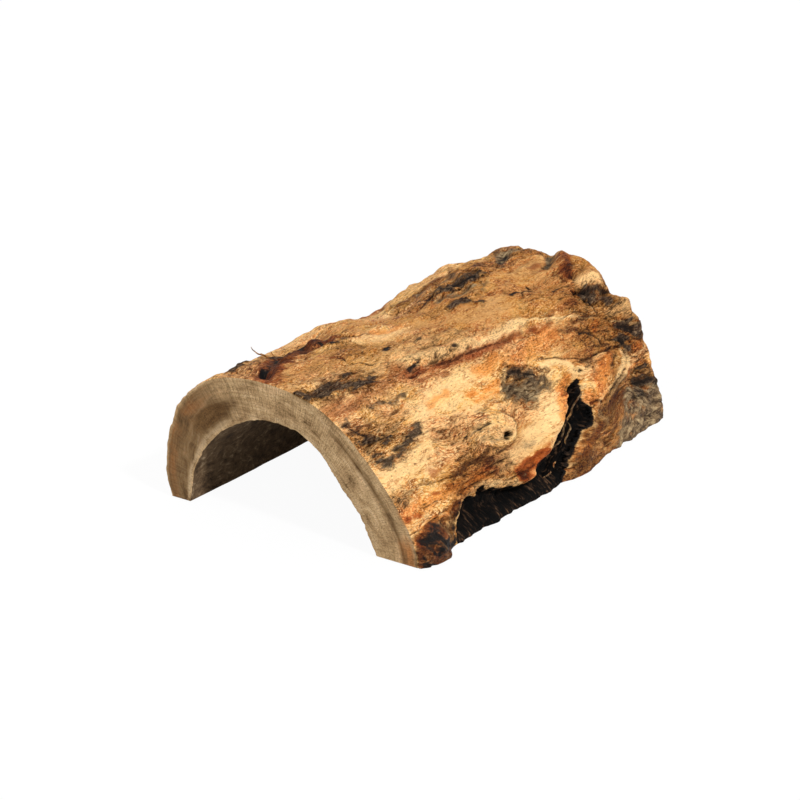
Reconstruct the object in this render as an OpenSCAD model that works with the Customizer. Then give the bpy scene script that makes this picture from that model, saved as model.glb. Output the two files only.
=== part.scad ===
// Half-log hideout for a small pet: the wall of a hollow log, sawn square at both ends and
// split lengthways, so that it stands on its two long feet like a tunnel.
// The front cut faces -Y, Z is up, and the origin is on the ground under the middle of the log.
// A place on the log is given by y, the distance from the front cut, and a, the angle round
// the log from the right foot (0) over the top (90) to the left foot (180).

/* [Log] */
// Length between the two saw cuts
log_length = 212; // [190:1:250]
// Width across the feet at the front cut
front_width = 133; // [122:1:150]
// Height of the log at the front cut
front_height = 64; // [58:1:74]
// Width across the feet at the back cut
back_width = 136; // [122:1:150]
// Height of the log at the back cut
back_height = 71; // [60:1:80]

/* [Wall] */
// Wall at the left foot
wall_left = 12; // [9:0.5:15]
// Wall at the top of the arch
wall_top = 15; // [11:0.5:18]
// Wall at the right foot
wall_right = 18.5; // [14:0.5:22]
// How much thicker the wall is half way up the right side
wall_swell = 3; // [0:0.5:5]
// How much thicker the wall is just above the right foot
leg_swell = 1.5; // [0:0.25:3]

/* [Growth] */
// How far the left shoulder stands out of the round at the front
shoulder_rise = 10.5; // [0:0.5:13]
// How far the right flank lies inside the round at the front
flank_drop = 5; // [0:0.5:7]
// Height of the burl lobes on either side of the fissure
burl_rise = 5; // [0:0.5:7]
// Height of the buds along the back crest
crest_rise = 4; // [0:0.5:6]
// Depth of the saddle in the left shoulder
saddle_drop = 5; // [0:0.5:8]
// Height of the lumps that are scattered over the log
lump_rise = 1.8; // [0:0.1:2.5]
// Distance from one lump to the next
lump_spacing = 17; // [14:1:25]

/* [Fissure] */
// Depth of the fissure in the right flank
fissure_depth = 7; // [4:0.5:9]
// Width of the fissure where it is widest
fissure_width = 15; // [9:0.5:18]
// Depth of the hollow above the right foot
hollow_depth = 5; // [3:0.5:7]
// Thickness of the black bark in the fissure and the hollow
seam_thickness = 2; // [1:0.25:2.5]

/* [Knots] */
// Diameter of the side knot at the surface of the log
knot_d = 17; // [13:0.5:20]
// Depth of the side knot in the wall
knot_depth = 10; // [7:0.5:11]
// Clearance between the side knot and its socket
knot_gap = 0.1; // [0.05:0.05:0.3]
// Height of the side knot's dome above the log
knot_rise = 1.2; // [0.5:0.1:2.5]
// Diameter of the beetle hole in the side knot
beetle_hole_d = 2.6; // [1.5:0.1:3.5]
// Depth of the beetle hole
beetle_hole_depth = 7; // [3:0.5:8]
// Thickness of the dark knot on the right front toe
toe_thickness = 4; // [2:0.5:6]

/* [Bark] */
// Thickness of the bark that is left on the log
bark_thickness = 1.4; // [0.8:0.1:2]

/* [Hidden] */
rows = 60;                    // outer face, steps along the log
cols = 64;                    // outer face, steps round the log
inner_rows = rows / 5;        // bore, steps along the log
inner_cols = cols / 2;        // bore, steps round the log
foot_crowding = 1.2;          // steps lie closer together towards the right foot
feather = 0.2;                // bark thinner than this has flaked off
seam_edge = 0.35;             // the seam's bark begins at this share of the full depth
shoulder_a = 135;             // middle of the left shoulder, in degrees
shoulder_reach = 23;
shoulder_left = 0.3;          // share of the shoulder that is left at the back
flank_a = 42;                 // middle of the flat right flank, in degrees
flank_reach = 19;
leg_a = 13;                   // middle of the thicker leg, in degrees
leg_reach = 7;
lump_seed = 21;               // another number scatters the lumps another way
lump_stray = 0.35;            // share of the spacing by which a lump strays from its place
lump_length = 0.36;           // reach of a lump along the log, as a share of the spacing
lump_width = 0.28;            // its reach round the log
calm_cut = 16;                // the lumps fade away over this length behind the front cut
calm_knot = 15;               // and within this distance of the side knot
back = log_length;
mean_radius = (front_width + back_width) / 4;
arc = PI / 180 * mean_radius; // millimetres round the log in one degree

// Bark that is left on the log: name, y, a, half length, half width in degrees, lean in degrees
BARK = [
    ["bark_front_shoulder", 19, 80, 20, 8, -3],
    ["bark_front_flank", 16, 49, 17, 8, -4],
    ["bark_burl", 111, 38, 14, 10, 3],
    ["bark_crown_front", 129, 85, 14, 4.5, 2],
    ["bark_crown_back", 152, 100, 24, 5, -2],
    ["bark_back_shoulder", back - 18, 60, 12, 6, 2],
    ["bark_back_flank", back - 17, 38, 11, 8, 0],
    ["bark_back_foot", back - 21, 17, 16, 7, 2],
    ["bark_left_front", 24, 116, 22, 7, 4],
];
function bark_name(b) = b[0];
function bark_y(b) = b[1];
function bark_a(b) = b[2];
function bark_length(b) = b[3];
function bark_width(b) = b[4];
function bark_lean(b) = b[5];

// Swellings and hollows of the outer face: y, a, height, reach along, reach round in degrees
growths = [
    [10, 2, 3.5, 12, 10],                       // right front toe
    [60, 0, 4.2, 30, 12],                       // right foot below the hollow
    [122, 0, 7.2, 24, 14],                      // right foot below the fissure
    [back - 27, 0, 1.5, 25, 10],                // right foot near the back
    [72, 33, 2.5, 15, 8],                       // swelling round the side knot
    [111, 39, -2, 9, 6],                        // dish beside the burl
    [121, 29, burl_rise, 12, 8],                // burl lobe in front of the fissure
    [161, 29, burl_rise, 13, 9],                // burl lobe behind the fissure
    [100, 70, 1.2, 40, 4],                      // long ridge on the crown
    [90, 63, -1.2, 45, 3],                      // furrow beside the ridge
    [84, 121, 2.4, 11, 9],                      // left shoulder, front
    [114, 117, -saddle_drop, 17, 13],           // saddle in the left shoulder
    [back - 60, 122, 2.5, 10, 9],               // step behind the saddle
    [back - 38, 117, crest_rise + 0.5, 7, 6],   // bud on the left shoulder
    [back - 28, 109, crest_rise / 2, 8, 7],     // swelling behind that bud
    [back - 8, 122, -4, 12, 9],                 // the left shoulder falls away
    [back - 6, 109, crest_rise, 8, 7],          // left bud on the back crest
    [back - 4, 73, crest_rise + 1.5, 9, 9],     // middle bud on the back crest
    [back, 58, -3.5, 9, 3],                     // notch in the back crest
    [back - 5, 50, crest_rise - 1, 8, 5],       // right bud on the back crest
    [back, 19, -2.1, 25, 11],                   // the right flank falls away
    [60, 155, 2, 20, 12],                       // left flank, front
    [118, 152, -2, 18, 10],                     // left flank, middle
    [back - 40, 160, 2.5, 20, 10],              // left flank, back
];

// Ridges and furrows of the outer face: height, half width, and the stretch from one [y, a] to another
ridges = [
    [2, 5, [103, 19], [133, 34]],               // lip in front of the fissure
    [1.8, 4, [151, 30], [153, 22]],             // lip behind the fissure
    [1.2, 3.5, [131, 44], [152, 34]],           // ridge above the fissure
    [-2.2, 9, [42, 117], [66, 115]],            // dip in the left shoulder
    [-1, 6, [68, 132], [74, 128]],              // furrow in front of the left shoulder's lump
    [-2, 7, [134, 135], [140, 132]],            // furrow behind the saddle
    [1.6, 5, [128, 101], [142, 104]],           // swelling on the crown
    [2, 4.5, [back - 13, 67], [back - 6, 65]],  // middle bud on the back crest
    [1.5, 4, [back - 12, 50], [back - 5, 50]],  // right bud on the back crest
];

// The line that the fissure follows down the right flank, as [y, a]
fissure_line = [[145, 33], [136, 26], [128, 19], [117, 11], [109, 5]];
// The hollow above the right foot: y, a, reach along, reach round in degrees
hollows = [[50, 7, 15, 5], [84, 4, 22, 4]];
// The side knot's place, and the beetle hole's place in it, towards the back and down
knot_y = 80;
knot_a = 31;
hole_back = 4;
hole_down = 4.5;
// How far the knot's socket is cut outwards, clear of the log
socket_reach = 8;
// The toe knot: y, a, half length, half width in degrees
toe_y = 11;
toe_a = 3;
toe_length = 13;
toe_width = 11;

function hump(x) = exp(-x * x / 2);
function clamp01(x) = max(0, min(1, x));
function smooth(x) = let (t = clamp01(x)) t * t * (3 - 2 * t);
function mix(from, to, t) = from + (to - from) * t;
function total(v) = v * [for (x = v) 1];

// Distance in millimetres from a place on the log to the stretch of line from p to q
function stretch_distance(y, a, p, q) =
    let (
        d = [q.x - p.x, (q.y - p.y) * arc],
        v = [y - p.x, (a - p.y) * arc],
        t = clamp01(v * d / (d * d))
    )
    norm(v - t * d);

// 1 along the middle of the fissure, 0 away from it. Towards its upper tip it narrows to half.
function fissure(y, a) = max([
    for (k = [1:len(fissure_line) - 1])
        let (
            half = fissure_width / 2 * mix(0.5, 1, k / (len(fissure_line) - 1)),
            d = stretch_distance(y, a, fissure_line[k - 1], fissure_line[k])
        )
        hump(d / half * 1.2)
]);

// 1 in the middle of the hollow above the right foot, 0 away from it
function hollow(y, a) =
    max([for (h = hollows) hump((y - h[0]) / h[2]) * hump((a - h[1]) / h[3])]);

// Lumps and dimples, one strayed from the middle of each square of a grid: y, a, height
lump_rows = ceil(log_length / lump_spacing);
lump_cols = ceil(180 * arc / lump_spacing);
lump_chance = rands(-1, 1, 3 * lump_rows * lump_cols, lump_seed);
lumps = [
    for (i = [0:lump_rows - 1])
        [
            for (j = [0:lump_cols - 1])
                let (
                    k = 3 * (i * lump_cols + j),
                    y = (i + 0.5 + lump_stray * lump_chance[k]) * lump_spacing,
                    a = (j + 0.5 + lump_stray * lump_chance[k + 1]) * lump_spacing / arc
                )
                [y, a, lump_rise * lump_chance[k + 2]]
        ]
];

// Height of the lumps at a place on the log, from the lumps of the nine squares round it
function lump_height(y, a) =
    let (
        i = floor(y / lump_spacing),
        j = floor(a * arc / lump_spacing),
        near = [
            for (p = [max(0, i - 1):min(lump_rows - 1, i + 1)])
                for (q = [max(0, j - 1):min(lump_cols - 1, j + 1)])
                    lumps[p][q]
        ],
        calm = hump(norm([y - knot_y, (a - knot_a) * arc]) / calm_knot)
    )
    smooth(y / calm_cut) * (1 - calm) * total([
        for (g = near)
            g[2] * hump((y - g[0]) / lump_spacing / lump_length)
            * hump((a - g[1]) * arc / lump_spacing / lump_width)
    ]);

// Height of the ridges and furrows at a place on the log
function ridge_height(y, a) =
    total([for (r = ridges) r[0] * hump(stretch_distance(y, a, r[2], r[3]) / r[1] * 1.4)]);

// Polar radius of an ellipse of half width w and height h
function ellipse_r(w, h, a) = w * h / norm([h * cos(a), w * sin(a)]);

function half_width(y) = mix(front_width, back_width, smooth(y / log_length)) / 2;
function height(y) = mix(front_height, back_height, smooth(y / log_length));

function outer_r(y, a) =
    let (along = smooth(y / log_length))
    ellipse_r(half_width(y), height(y), a)
    + shoulder_rise * mix(1, shoulder_left, along) * hump((a - shoulder_a) / shoulder_reach)
    - flank_drop * (1 - along) * hump((a - flank_a) / flank_reach)
    + total([for (g = growths) g[2] * hump((y - g[0]) / g[3]) * hump((a - g[1]) / g[4])])
    + ridge_height(y, a)
    + lump_height(y, a)
    - max(fissure_depth * fissure(y, a), hollow_depth * hollow(y, a));

function inner_r(y, a) =
    let (
        left = half_width(y) - wall_left,
        right = half_width(y) - wall_right
    )
    ellipse_r((left + right) / 2, height(y) - wall_top, a)
    + (right - left) / 2 * cos(a)
    - (flank_drop + wall_swell) * hump((a - flank_a) / flank_reach)
    - leg_swell * hump((a - leg_a) / leg_reach);

function row_y(i) = log_length * i / rows;
function col_a(j) = 180 * pow(j / cols, foot_crowding);
function polar(r, y, a) = [r * cos(a), y, r * sin(a)];

outer = [for (i = [0:rows]) [for (j = [0:cols]) outer_r(row_y(i), col_a(j))]];
last = (rows + 1) * (cols + 1);
function at(i, j) = i * (cols + 1) + j;
outer_points = [for (i = [0:rows], j = [0:cols]) polar(outer[i][j], row_y(i), col_a(j))];

// The two triangles of each cell of the outer face, clockwise from outside, as pairs [i, j]
cells = [
    for (i = [0:rows - 1], j = [0:cols - 1])
        each [
            [[i, j], [i, j + 1], [i + 1, j + 1]],
            [[i, j], [i + 1, j + 1], [i + 1, j]]
        ]
];

function reversed(tri) = [tri[2], tri[1], tri[0]];

// Thickness of a bark remnant: greatest in the middle of its patch, whose edge wanders
function bark(b, y, a) =
    let (
        u = (y - bark_y(b)) / bark_length(b),
        v = (a - bark_a(b) - bark_lean(b) * u) / bark_width(b),
        turn = atan2(v, u),
        bays = 0.16 * cos(3 * turn + 5 * bark_y(b)),
        nicks = 0.1 * cos(5 * turn + 3 * bark_a(b)),
        edge = 1 + bays + nicks,
        inside = 1 - norm([u, v]) / edge
    )
    bark_thickness * smooth(2.5 * inside);

// Thickness of the bark in the fissure and the hollow, and of the toe knot
seam = function (y, a)
    seam_thickness * smooth((fissure(y, a) + hollow(y, a) - seam_edge) / (1 - 2 * seam_edge));
toe = function (y, a)
    let (inside = 1 - norm([(y - toe_y) / toe_length, (a - toe_a) / toe_width]))
    toe_thickness * smooth(1.8 * inside);
function skin(y, a) = max([toe(y, a), seam(y, a), for (b = BARK) bark(b, y, a)]);

// Half way between the left-most and the right-most point of the log
across = [
    for (i = [0:rows], j = [0:cols])
        (outer[i][j] + skin(row_y(i), col_a(j))) * cos(col_a(j))
];
middle_x = (max(across) + min(across)) / 2;

// Puts the origin on the ground under the middle of the log
module placed() {
    translate([-middle_x, -log_length / 2, 0]) children();
}

// Stands at a place on the log with Z pointing straight out of it
module out_of_log(y, a) {
    translate([0, y, 0]) rotate([0, 90 - a, 0]) children();
}

// The bare half shell: outer face, bore, two saw cuts and two feet
module half_shell() {
    along = rows / inner_rows;
    round = cols / inner_cols;
    inner_points = [
        for (q = [0:inner_rows], k = [0:inner_cols])
            let (y = row_y(q * along), a = col_a(k * round))
            polar(inner_r(y, a), y, a)
    ];
    function inner_at(q, k) = last + q * (inner_cols + 1) + k;
    // A strip between one step of the bore and the steps of the outer face beside it
    function strip(inner_ids, outer_ids) = concat(
        [for (s = [0:len(outer_ids) - 2]) [inner_ids[0], outer_ids[s], outer_ids[s + 1]]],
        [[inner_ids[0], outer_ids[len(outer_ids) - 1], inner_ids[1]]]
    );
    function cut(i, q) = [
        for (k = [0:inner_cols - 1])
            each strip(
                [inner_at(q, k), inner_at(q, k + 1)],
                [for (s = [0:round]) at(i, k * round + s)]
            )
    ];
    function foot(j, k) = [
        for (q = [0:inner_rows - 1])
            each strip(
                [inner_at(q, k), inner_at(q + 1, k)],
                [for (s = [0:along]) at(q * along + s, j)]
            )
    ];
    outside = [for (c = cells) [for (p = c) at(p[0], p[1])]];
    bore = [
        for (q = [0:inner_rows - 1], k = [0:inner_cols - 1])
            each [
                [inner_at(q, k), inner_at(q + 1, k + 1), inner_at(q, k + 1)],
                [inner_at(q, k), inner_at(q + 1, k), inner_at(q + 1, k + 1)]
            ]
    ];
    polyhedron(
        points = concat(outer_points, inner_points),
        faces = concat(
            outside,
            bore,
            [for (t = cut(0, 0)) reversed(t)],
            cut(rows, inner_rows),
            foot(0, 0),
            [for (t = foot(cols, inner_cols)) reversed(t)]
        )
    );
}

// A piece that lies on the outer face, as thick as thick(y, a) says and feathered to nothing
// at its edge. At a foot or a saw cut it ends flush with it.
module on_log(thick) {
    t = [
        for (i = [0:rows])
            [for (j = [0:cols]) let (v = thick(row_y(i), col_a(j))) v < feather ? 0 : v]
    ];
    raised = [
        for (i = [0:rows], j = [0:cols])
            polar(outer[i][j] + t[i][j], row_y(i), col_a(j))
    ];
    function low(p) = at(p[0], p[1]);
    function high(p) = t[p[0]][p[1]] > 0 ? last + low(p) : low(p);
    function side(p, q) = [
        for (tri = [[low(p), high(p), high(q)], [low(p), high(q), low(q)]])
            if (tri[0] != tri[1] && tri[1] != tri[2] && tri[2] != tri[0]) tri
    ];
    live = [for (c = cells) if (max([for (p = c) t[p[0]][p[1]]]) > 0) c];
    polyhedron(
        points = concat(outer_points, raised),
        faces = concat(
            [for (c = live) [for (p = c) high(p)]],
            [for (c = live) reversed([for (p = c) low(p)])],
            [for (i = [0:rows - 1]) each side([i, 0], [i + 1, 0])],
            [for (i = [0:rows - 1]) each side([i + 1, cols], [i, cols])],
            [for (j = [0:cols - 1]) each side([0, j + 1], [0, j])],
            [for (j = [0:cols - 1]) each side([rows, j], [rows, j + 1])]
        )
    );
}

// A knot tapers inwards, as a branch does. grow widens it into its socket.
module knot_taper(grow, reach) {
    surface = outer_r(knot_y, knot_a);
    mouth = knot_d / 2 + grow;
    taper = knot_d / 6 / knot_depth;
    out_of_log(knot_y, knot_a)
        translate([0, 0, surface - knot_depth - grow])
            cylinder(
                r1 = mouth - taper * knot_depth,
                r2 = mouth + taper * reach,
                h = knot_depth + reach,
                $fn = 64
            );
}

module log_wall() {
    color([0.80, 0.56, 0.30])
        placed()
            difference() {
                half_shell();
                knot_taper(knot_gap, socket_reach);
            }
}

module side_knot() {
    surface = outer_r(knot_y, knot_a);
    dome_r = (pow(knot_d / 2, 2) + pow(knot_rise, 2)) / (2 * knot_rise);
    color([0.85, 0.68, 0.45])
        placed()
            difference() {
                intersection() {
                    knot_taper(0, knot_rise);
                    out_of_log(knot_y, knot_a)
                        translate([0, 0, surface + knot_rise - dome_r])
                            sphere(r = dome_r, $fn = 64);
                }
                out_of_log(knot_y, knot_a)
                    translate([hole_down, hole_back, surface + knot_rise - beetle_hole_depth])
                        cylinder(d = beetle_hole_d, h = beetle_hole_depth, $fn = 32);
            }
}

module toe_knot() {
    color([0.33, 0.18, 0.10])
        placed() on_log(toe);
}

module seam_bark() {
    color([0.10, 0.08, 0.07])
        placed() on_log(seam);
}

module bark_remnant(b) {
    color([0.30, 0.27, 0.24])
        placed() on_log(function (y, a) bark(b, y, a));
}

log_wall();
side_knot();
toe_knot();
seam_bark();
for (b = BARK)
    bark_remnant(b);
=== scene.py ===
import math

import bpy
import numpy as np
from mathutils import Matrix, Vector
from mathutils.bvhtree import BVHTree


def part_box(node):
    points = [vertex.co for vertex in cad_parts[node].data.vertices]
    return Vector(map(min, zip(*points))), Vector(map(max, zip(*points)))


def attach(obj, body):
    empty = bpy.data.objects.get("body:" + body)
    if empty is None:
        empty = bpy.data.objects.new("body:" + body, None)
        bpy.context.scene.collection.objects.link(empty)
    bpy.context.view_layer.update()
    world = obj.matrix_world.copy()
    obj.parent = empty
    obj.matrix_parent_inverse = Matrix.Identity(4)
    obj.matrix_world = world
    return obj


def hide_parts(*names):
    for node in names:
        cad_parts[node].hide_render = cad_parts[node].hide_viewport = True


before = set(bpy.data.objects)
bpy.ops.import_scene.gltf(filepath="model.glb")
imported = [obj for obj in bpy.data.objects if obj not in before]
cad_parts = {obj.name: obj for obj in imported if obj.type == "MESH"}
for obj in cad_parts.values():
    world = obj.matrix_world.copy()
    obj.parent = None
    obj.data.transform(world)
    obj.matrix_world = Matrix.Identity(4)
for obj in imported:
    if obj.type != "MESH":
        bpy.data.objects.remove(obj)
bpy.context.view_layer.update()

# Sizes are in millimetres. A place on the log is (distance from the front cut, angle): the angle is in
# degrees, from the right foot at 0 over the top at 90 to the left foot at 180.
MM = 0.001
wall_low, wall_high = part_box("log_wall")
LENGTH = (wall_high.y - wall_low.y) / MM
FRONT_Y = wall_low.y / MM
AXIS_X = -2.14           # the angles turn about this line on the ground
MM_PER_DEGREE = 1.19     # on the unrolled log
BORE_SHARE = 0.7         # the unrolled bore's width, as a share of the outside's
FAR = 160.0              # length of the rays that feel the solids
FEEL_MARGIN = 0.3        # the rays keep this far from the cuts and, in degrees, from the feet

# Fineness of the meshes
ROWS = 256               # steps along the log
COLS = 272               # steps round it
BORE_STEP = 8            # rows of the outside for one of the bore
CUT_STEPS = 10           # steps across a cut or a foot
TOE_CELLS = 60           # rows and columns that hold the toe knot
PLATE_STEPS = 12         # steps for each point of a plate
SPLINTER_STEPS = 6       # steps for each point of a splinter
SPLINTER_SIDES = 6
RIGHT_CROWDING = 1.12    # above 1, the columns lie closer together towards the right foot
RIM = 0.5                # distance of the second row from its cut
RIM_DROP = 0.35          # the edges of the cuts are taken down by this
THINNEST = 0.02          # a piece that lies on the log ends where it gets thinner than this

# Heights, depths and thicknesses of the detail
KNOB_HEIGHT = 0.8
ROUGH_HEIGHT = 2.2
FIBRE_HEIGHT = 0.9
FINE_FIBRE_HEIGHT = 0.5
CRACK_DEPTH = 1.0
SEAM_DEPTH = 5.5
SEAM_FILL = 1.0
BARK_HEIGHT = 0.9
KNOT_HEIGHT = 0.9
KNOT_GROOVE = 0.5
HOLE_DEPTH = 6.0
SAW_DEPTH = 0.12
TOE_RISE = 1.4
TOE_EDGE = 0.15
LEFT_FOOT_ROUNDING = 2.2
PLATE_THICKNESS = 0.7
SPLINTER_RADIUS = 0.45
SPLINTER_TIP = 0.135     # radius at the tip
SPLINTER_SIDEWAYS = (0.3, 0.9, 0.2)   # a direction that no splinter follows
SUNK_SHARE = 0.6         # of a thickness of up to a millimetre, how much a piece goes into the wood
STROKE_FADE = (1.6, 0.2)   # a stroke begins and is full at these shares of its half width

# Strengths of stains that hide the wood under them
FULL = 1.6
CHARRED = 2.6

# Ellipses on the log: (from the front, angle, half length, half height)
BEETLE_HOLE = (85.3, 27.2, 3.3, 1.7)
HOLE_LEAN = 0.05
TOE_LOBE = (14, 5, 10, 8)

# Ellipses in which the grain curls, with how far it turns there, in radians
SWIRLS = [
    (1.1, (79, 31, 22, 12)), (1.2, (27, 9, 9, 7)), (2, (150.3, 35.6, 4, 3.6)), (0.5, (111, 39, 18, 12)),
    (-0.9, (168, 16, 34, 26)), (0.6, (46, 36, 12, 8)), (-0.8, (196, 66, 12, 9)), (0.9, (200, 92, 14, 10)),
]

# Outlines of the pale knot and of the black seam: the hollow along the right foot, then the fissure
# up the flank and back
KNOT_OUTLINE = [
    (57, 33), (63, 36.5), (70, 39), (78, 39.3), (85, 38), (90, 35.6), (93, 32), (92.8, 28.5), (90, 25.4),
    (85, 23.6), (78, 23.6), (72, 25.4), (65, 28.5),
]
SEAM_OUTLINE = [
    (29, -3), (31, 4), (35, 9), (40, 11.5), (44, 13.2), (50, 12.3), (55, 14.3), (59, 12.6), (63, 11.9),
    (68.6, 10.7), (74.3, 9.4), (79.2, 7.8), (83.3, 7.3), (87.7, 7.2), (93.1, 7.6), (94.7, 9.7), (96, 11.9),
    (99, 12.6), (103.5, 13), (108, 14), (113.5, 17), (118.5, 20), (123.5, 22.8), (129.5, 26.2), (136, 29.2),
    (142, 31.8), (148, 34), (148, 32), (145.5, 28.5), (143.5, 25), (143.5, 23), (147.5, 21), (147, 18.5),
    (143.5, 16), (136.5, 14.4), (131, 12.2), (127, 9.8), (123, 7.2), (119, 4.6), (114.5, 1.5), (112, -3),
]

# Thin plates that stand up in the fissure: (height, points)
PLATES = [
    (5.6, [(147.4, 29), (143, 26.6), (140, 24.2), (136.5, 21.7), (132.5, 19.4), (127.5, 16.6),
           (122.5, 13.9), (118.5, 10.9)]),
    (5.2, [(136.5, 19.7), (133.5, 17.4), (130, 15.4), (125.5, 12.6), (121, 9.7), (117, 7.6), (111, 5),
           (103, 3.4)]),
]

# Thin fibres that curl off the left shoulder: (from the front, angle, height) places
SPLINTERS = [
    [(32, 117, -0.6), (30, 118.4, 1.4), (28.4, 119.6, 2.6), (27, 120, 5), (26.8, 120, 6.4)],
    [(31, 117, -0.6), (30, 118, 1.6), (29.4, 119, 2.6)],
    [(35, 116.6, -0.6), (34, 117.4, 1.6), (34.4, 117.8, 3.2)],
]

# Raised and sunk lines on the wood: (height, half width, points)
LINES = [
    (1.4, 1.5, [(83, 8.8), (90, 8.9), (92.6, 10)]), (-1.5, 1.8, [(84, 12), (92, 13.6), (101, 15.4)]),
    (0.9, 2.4, [(62, 73.5), (75, 71.5), (92, 67.6), (106, 66.3), (120, 64.5), (137, 65)]),
    (-0.7, 1.3, [(58, 68), (78, 66), (100, 63.6), (120, 61.8), (138, 61.2)]),
    (-1.2, 2, [(6, 103), (15, 107), (34, 115.2), (56, 116.3)]),
    (1.2, 1.8, [(8, 99.5), (17, 103), (36, 111), (58, 112)]), (-2.5, 1.8, [(8.5, 106), (10, 107.4)]),
    (1.6, 4, [(195, 67.3), (200, 65.3), (205, 63.4)]), (1.2, 4, [(199, 50.5), (208, 46.8)]),
    (-0.9, 0.8, [(69, 22.6), (80, 22.9), (88, 23.8)]),
    (1.2, 1.6, [(33, 11), (44, 14.4), (55, 15.6), (63, 13.6), (74, 11), (83, 8.8), (91, 9)]),
    (1.8, 3.4, [(105, 16), (114, 20), (121, 24.4), (129, 29.2)]),
    (1.6, 4, [(154, 27), (160, 30), (168, 34), (176, 36)]), (-2.8, 2.6, [(211, 88), (203, 85), (194, 82)]),
    (2.2, 3, [(211, 84), (203, 79), (197, 74)]), (-2, 1.6, [(209, 72), (202, 70), (195, 69.4)]),
    (-1.6, 2.2, [(186, 64.6), (196, 61), (207, 59)]), (1.4, 2.6, [(160, 105), (168, 103), (178, 103)]),
    (-1.2, 1.8, [(138, 100), (150, 98.5), (164, 98)]), (-1.6, 2, [(197, 102.5), (189, 99.5), (182, 98)]),
    (2.4, 2.2, [(205, 52.6), (213, 50.4)]), (2.2, 2.2, [(206, 44), (213, 42)]),
    (-2.4, 1.7, [(204, 58.5), (213, 56.4)]), (-2.2, 1.7, [(205, 47.6), (213, 45.8)]),
    (-2, 1.6, [(205, 36.4), (213, 34.4)]), (1.8, 2, [(205, 31), (213, 29)]),
    (-1.6, 1.6, [(205, 24), (213, 22)]),
    (0.8, 1.6, [(149, 30), (147, 25), (151, 21), (149, 17.5), (143, 14.4), (136, 11.4), (129, 7.4),
                (121, 3)]),
    (0.8, 1.2, [(20, 8.5), (22, 5.6), (27, 4.6), (32, 6.4), (34, 10.5)]),
    (-0.6, 0.9, [(3, 47.6), (10, 49.6), (17, 53), (23, 55.4)]),
    (0.5, 0.8, [(2, 46.6), (10, 48.6), (17, 52.2), (23, 54.6)]),
    (-1.4, 1.4, [(10, 141), (50, 144), (92, 141), (120, 144)]),
    (-1.2, 1.2, [(84, 158), (130, 154), (176, 158), (208, 155)]),
    (-1.2, 1.2, [(4, 168), (40, 165), (86, 170)]), (-1.2, 1.2, [(130, 136), (165, 139), (205, 135)]),
]

# Crisp lines: creases, (half width, depth, points), dark of their own and with painted shade, and pale welts,
# (half width, height, points)
CREASES = [
    (0.5, 1, [(135.5, 47), (143, 45), (149.5, 42), (157.5, 38.5), (169, 38), (183, 38), (190, 36.5)]),
    (0.7, 1.2, [(147, 22.6), (151.4, 22.4), (154, 21.6)]),
    (0.6, 1, [(162.3, 80), (164.1, 77.1), (159.4, 73.9)]), (0.7, 0.9, [(172.1, 78.7), (173.3, 75.9)]),
    (1, 1.5, [(187.8, 64.5), (196.1, 62.7), (206.3, 60.6), (211, 58.4)]),
    (0.7, 0.8, [(193.9, 62), (191.6, 55.4), (190.4, 52.6)]),
    (0.7, 0.8, [(176.7, 49.1), (174.4, 45.2), (177.4, 41)]),
    (0.4, 0.8, [(163, 23.4), (173, 25.3), (185, 28.1)]), (0.6, 0.8, [(43.5, 86.6), (46, 83.5), (49, 80.6)]),
    (0.6, 0.8, [(42.9, 92.9), (42.5, 89.6)]), (0.7, 1, [(66.7, 105.2), (69.7, 99.3)]),
    (0.4, 0.7, [(66, 34.2), (72, 35.2), (77, 34.6)]), (0.35, 0.6, [(68, 31.6), (75, 32), (82, 31)]),
    (0.35, 0.6, [(72, 37.4), (79, 37), (85, 35.4)]),
]
WELTS = [
    (1.2, 1.1, [(152, 22.4), (161.5, 24.2), (172, 26), (184.5, 29.4), (190, 32), (188.5, 35)]),
    (1.2, 1.1, [(162.5, 22.2), (173, 24.3), (185.5, 26.8), (193.5, 30.7), (192, 34)]),
    (1.6, 1, [(129.7, 44.2), (137.8, 44.4), (144.3, 42), (147.1, 38.9), (146.3, 36)]),
    (0.6, 0.5, [(144, 64.4), (151.2, 62.3), (161.6, 59.2), (174.3, 55.1), (183.9, 51.7)]),
    (0.6, 0.5, [(193.1, 46.6), (201, 43.8), (209.2, 40.5)]),
    (2.2, 0.8, [(128, 64.3), (137.6, 64.1), (141.6, 64.9)]),
    (1.4, 0.9, [(117, 55), (108.5, 50.5), (98.5, 44.5)]),
    (0.6, 0.6, [(152.5, 35.6), (150.3, 37.4), (148.1, 35.6), (150.3, 33.8), (152.5, 35.6)]),
]

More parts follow.
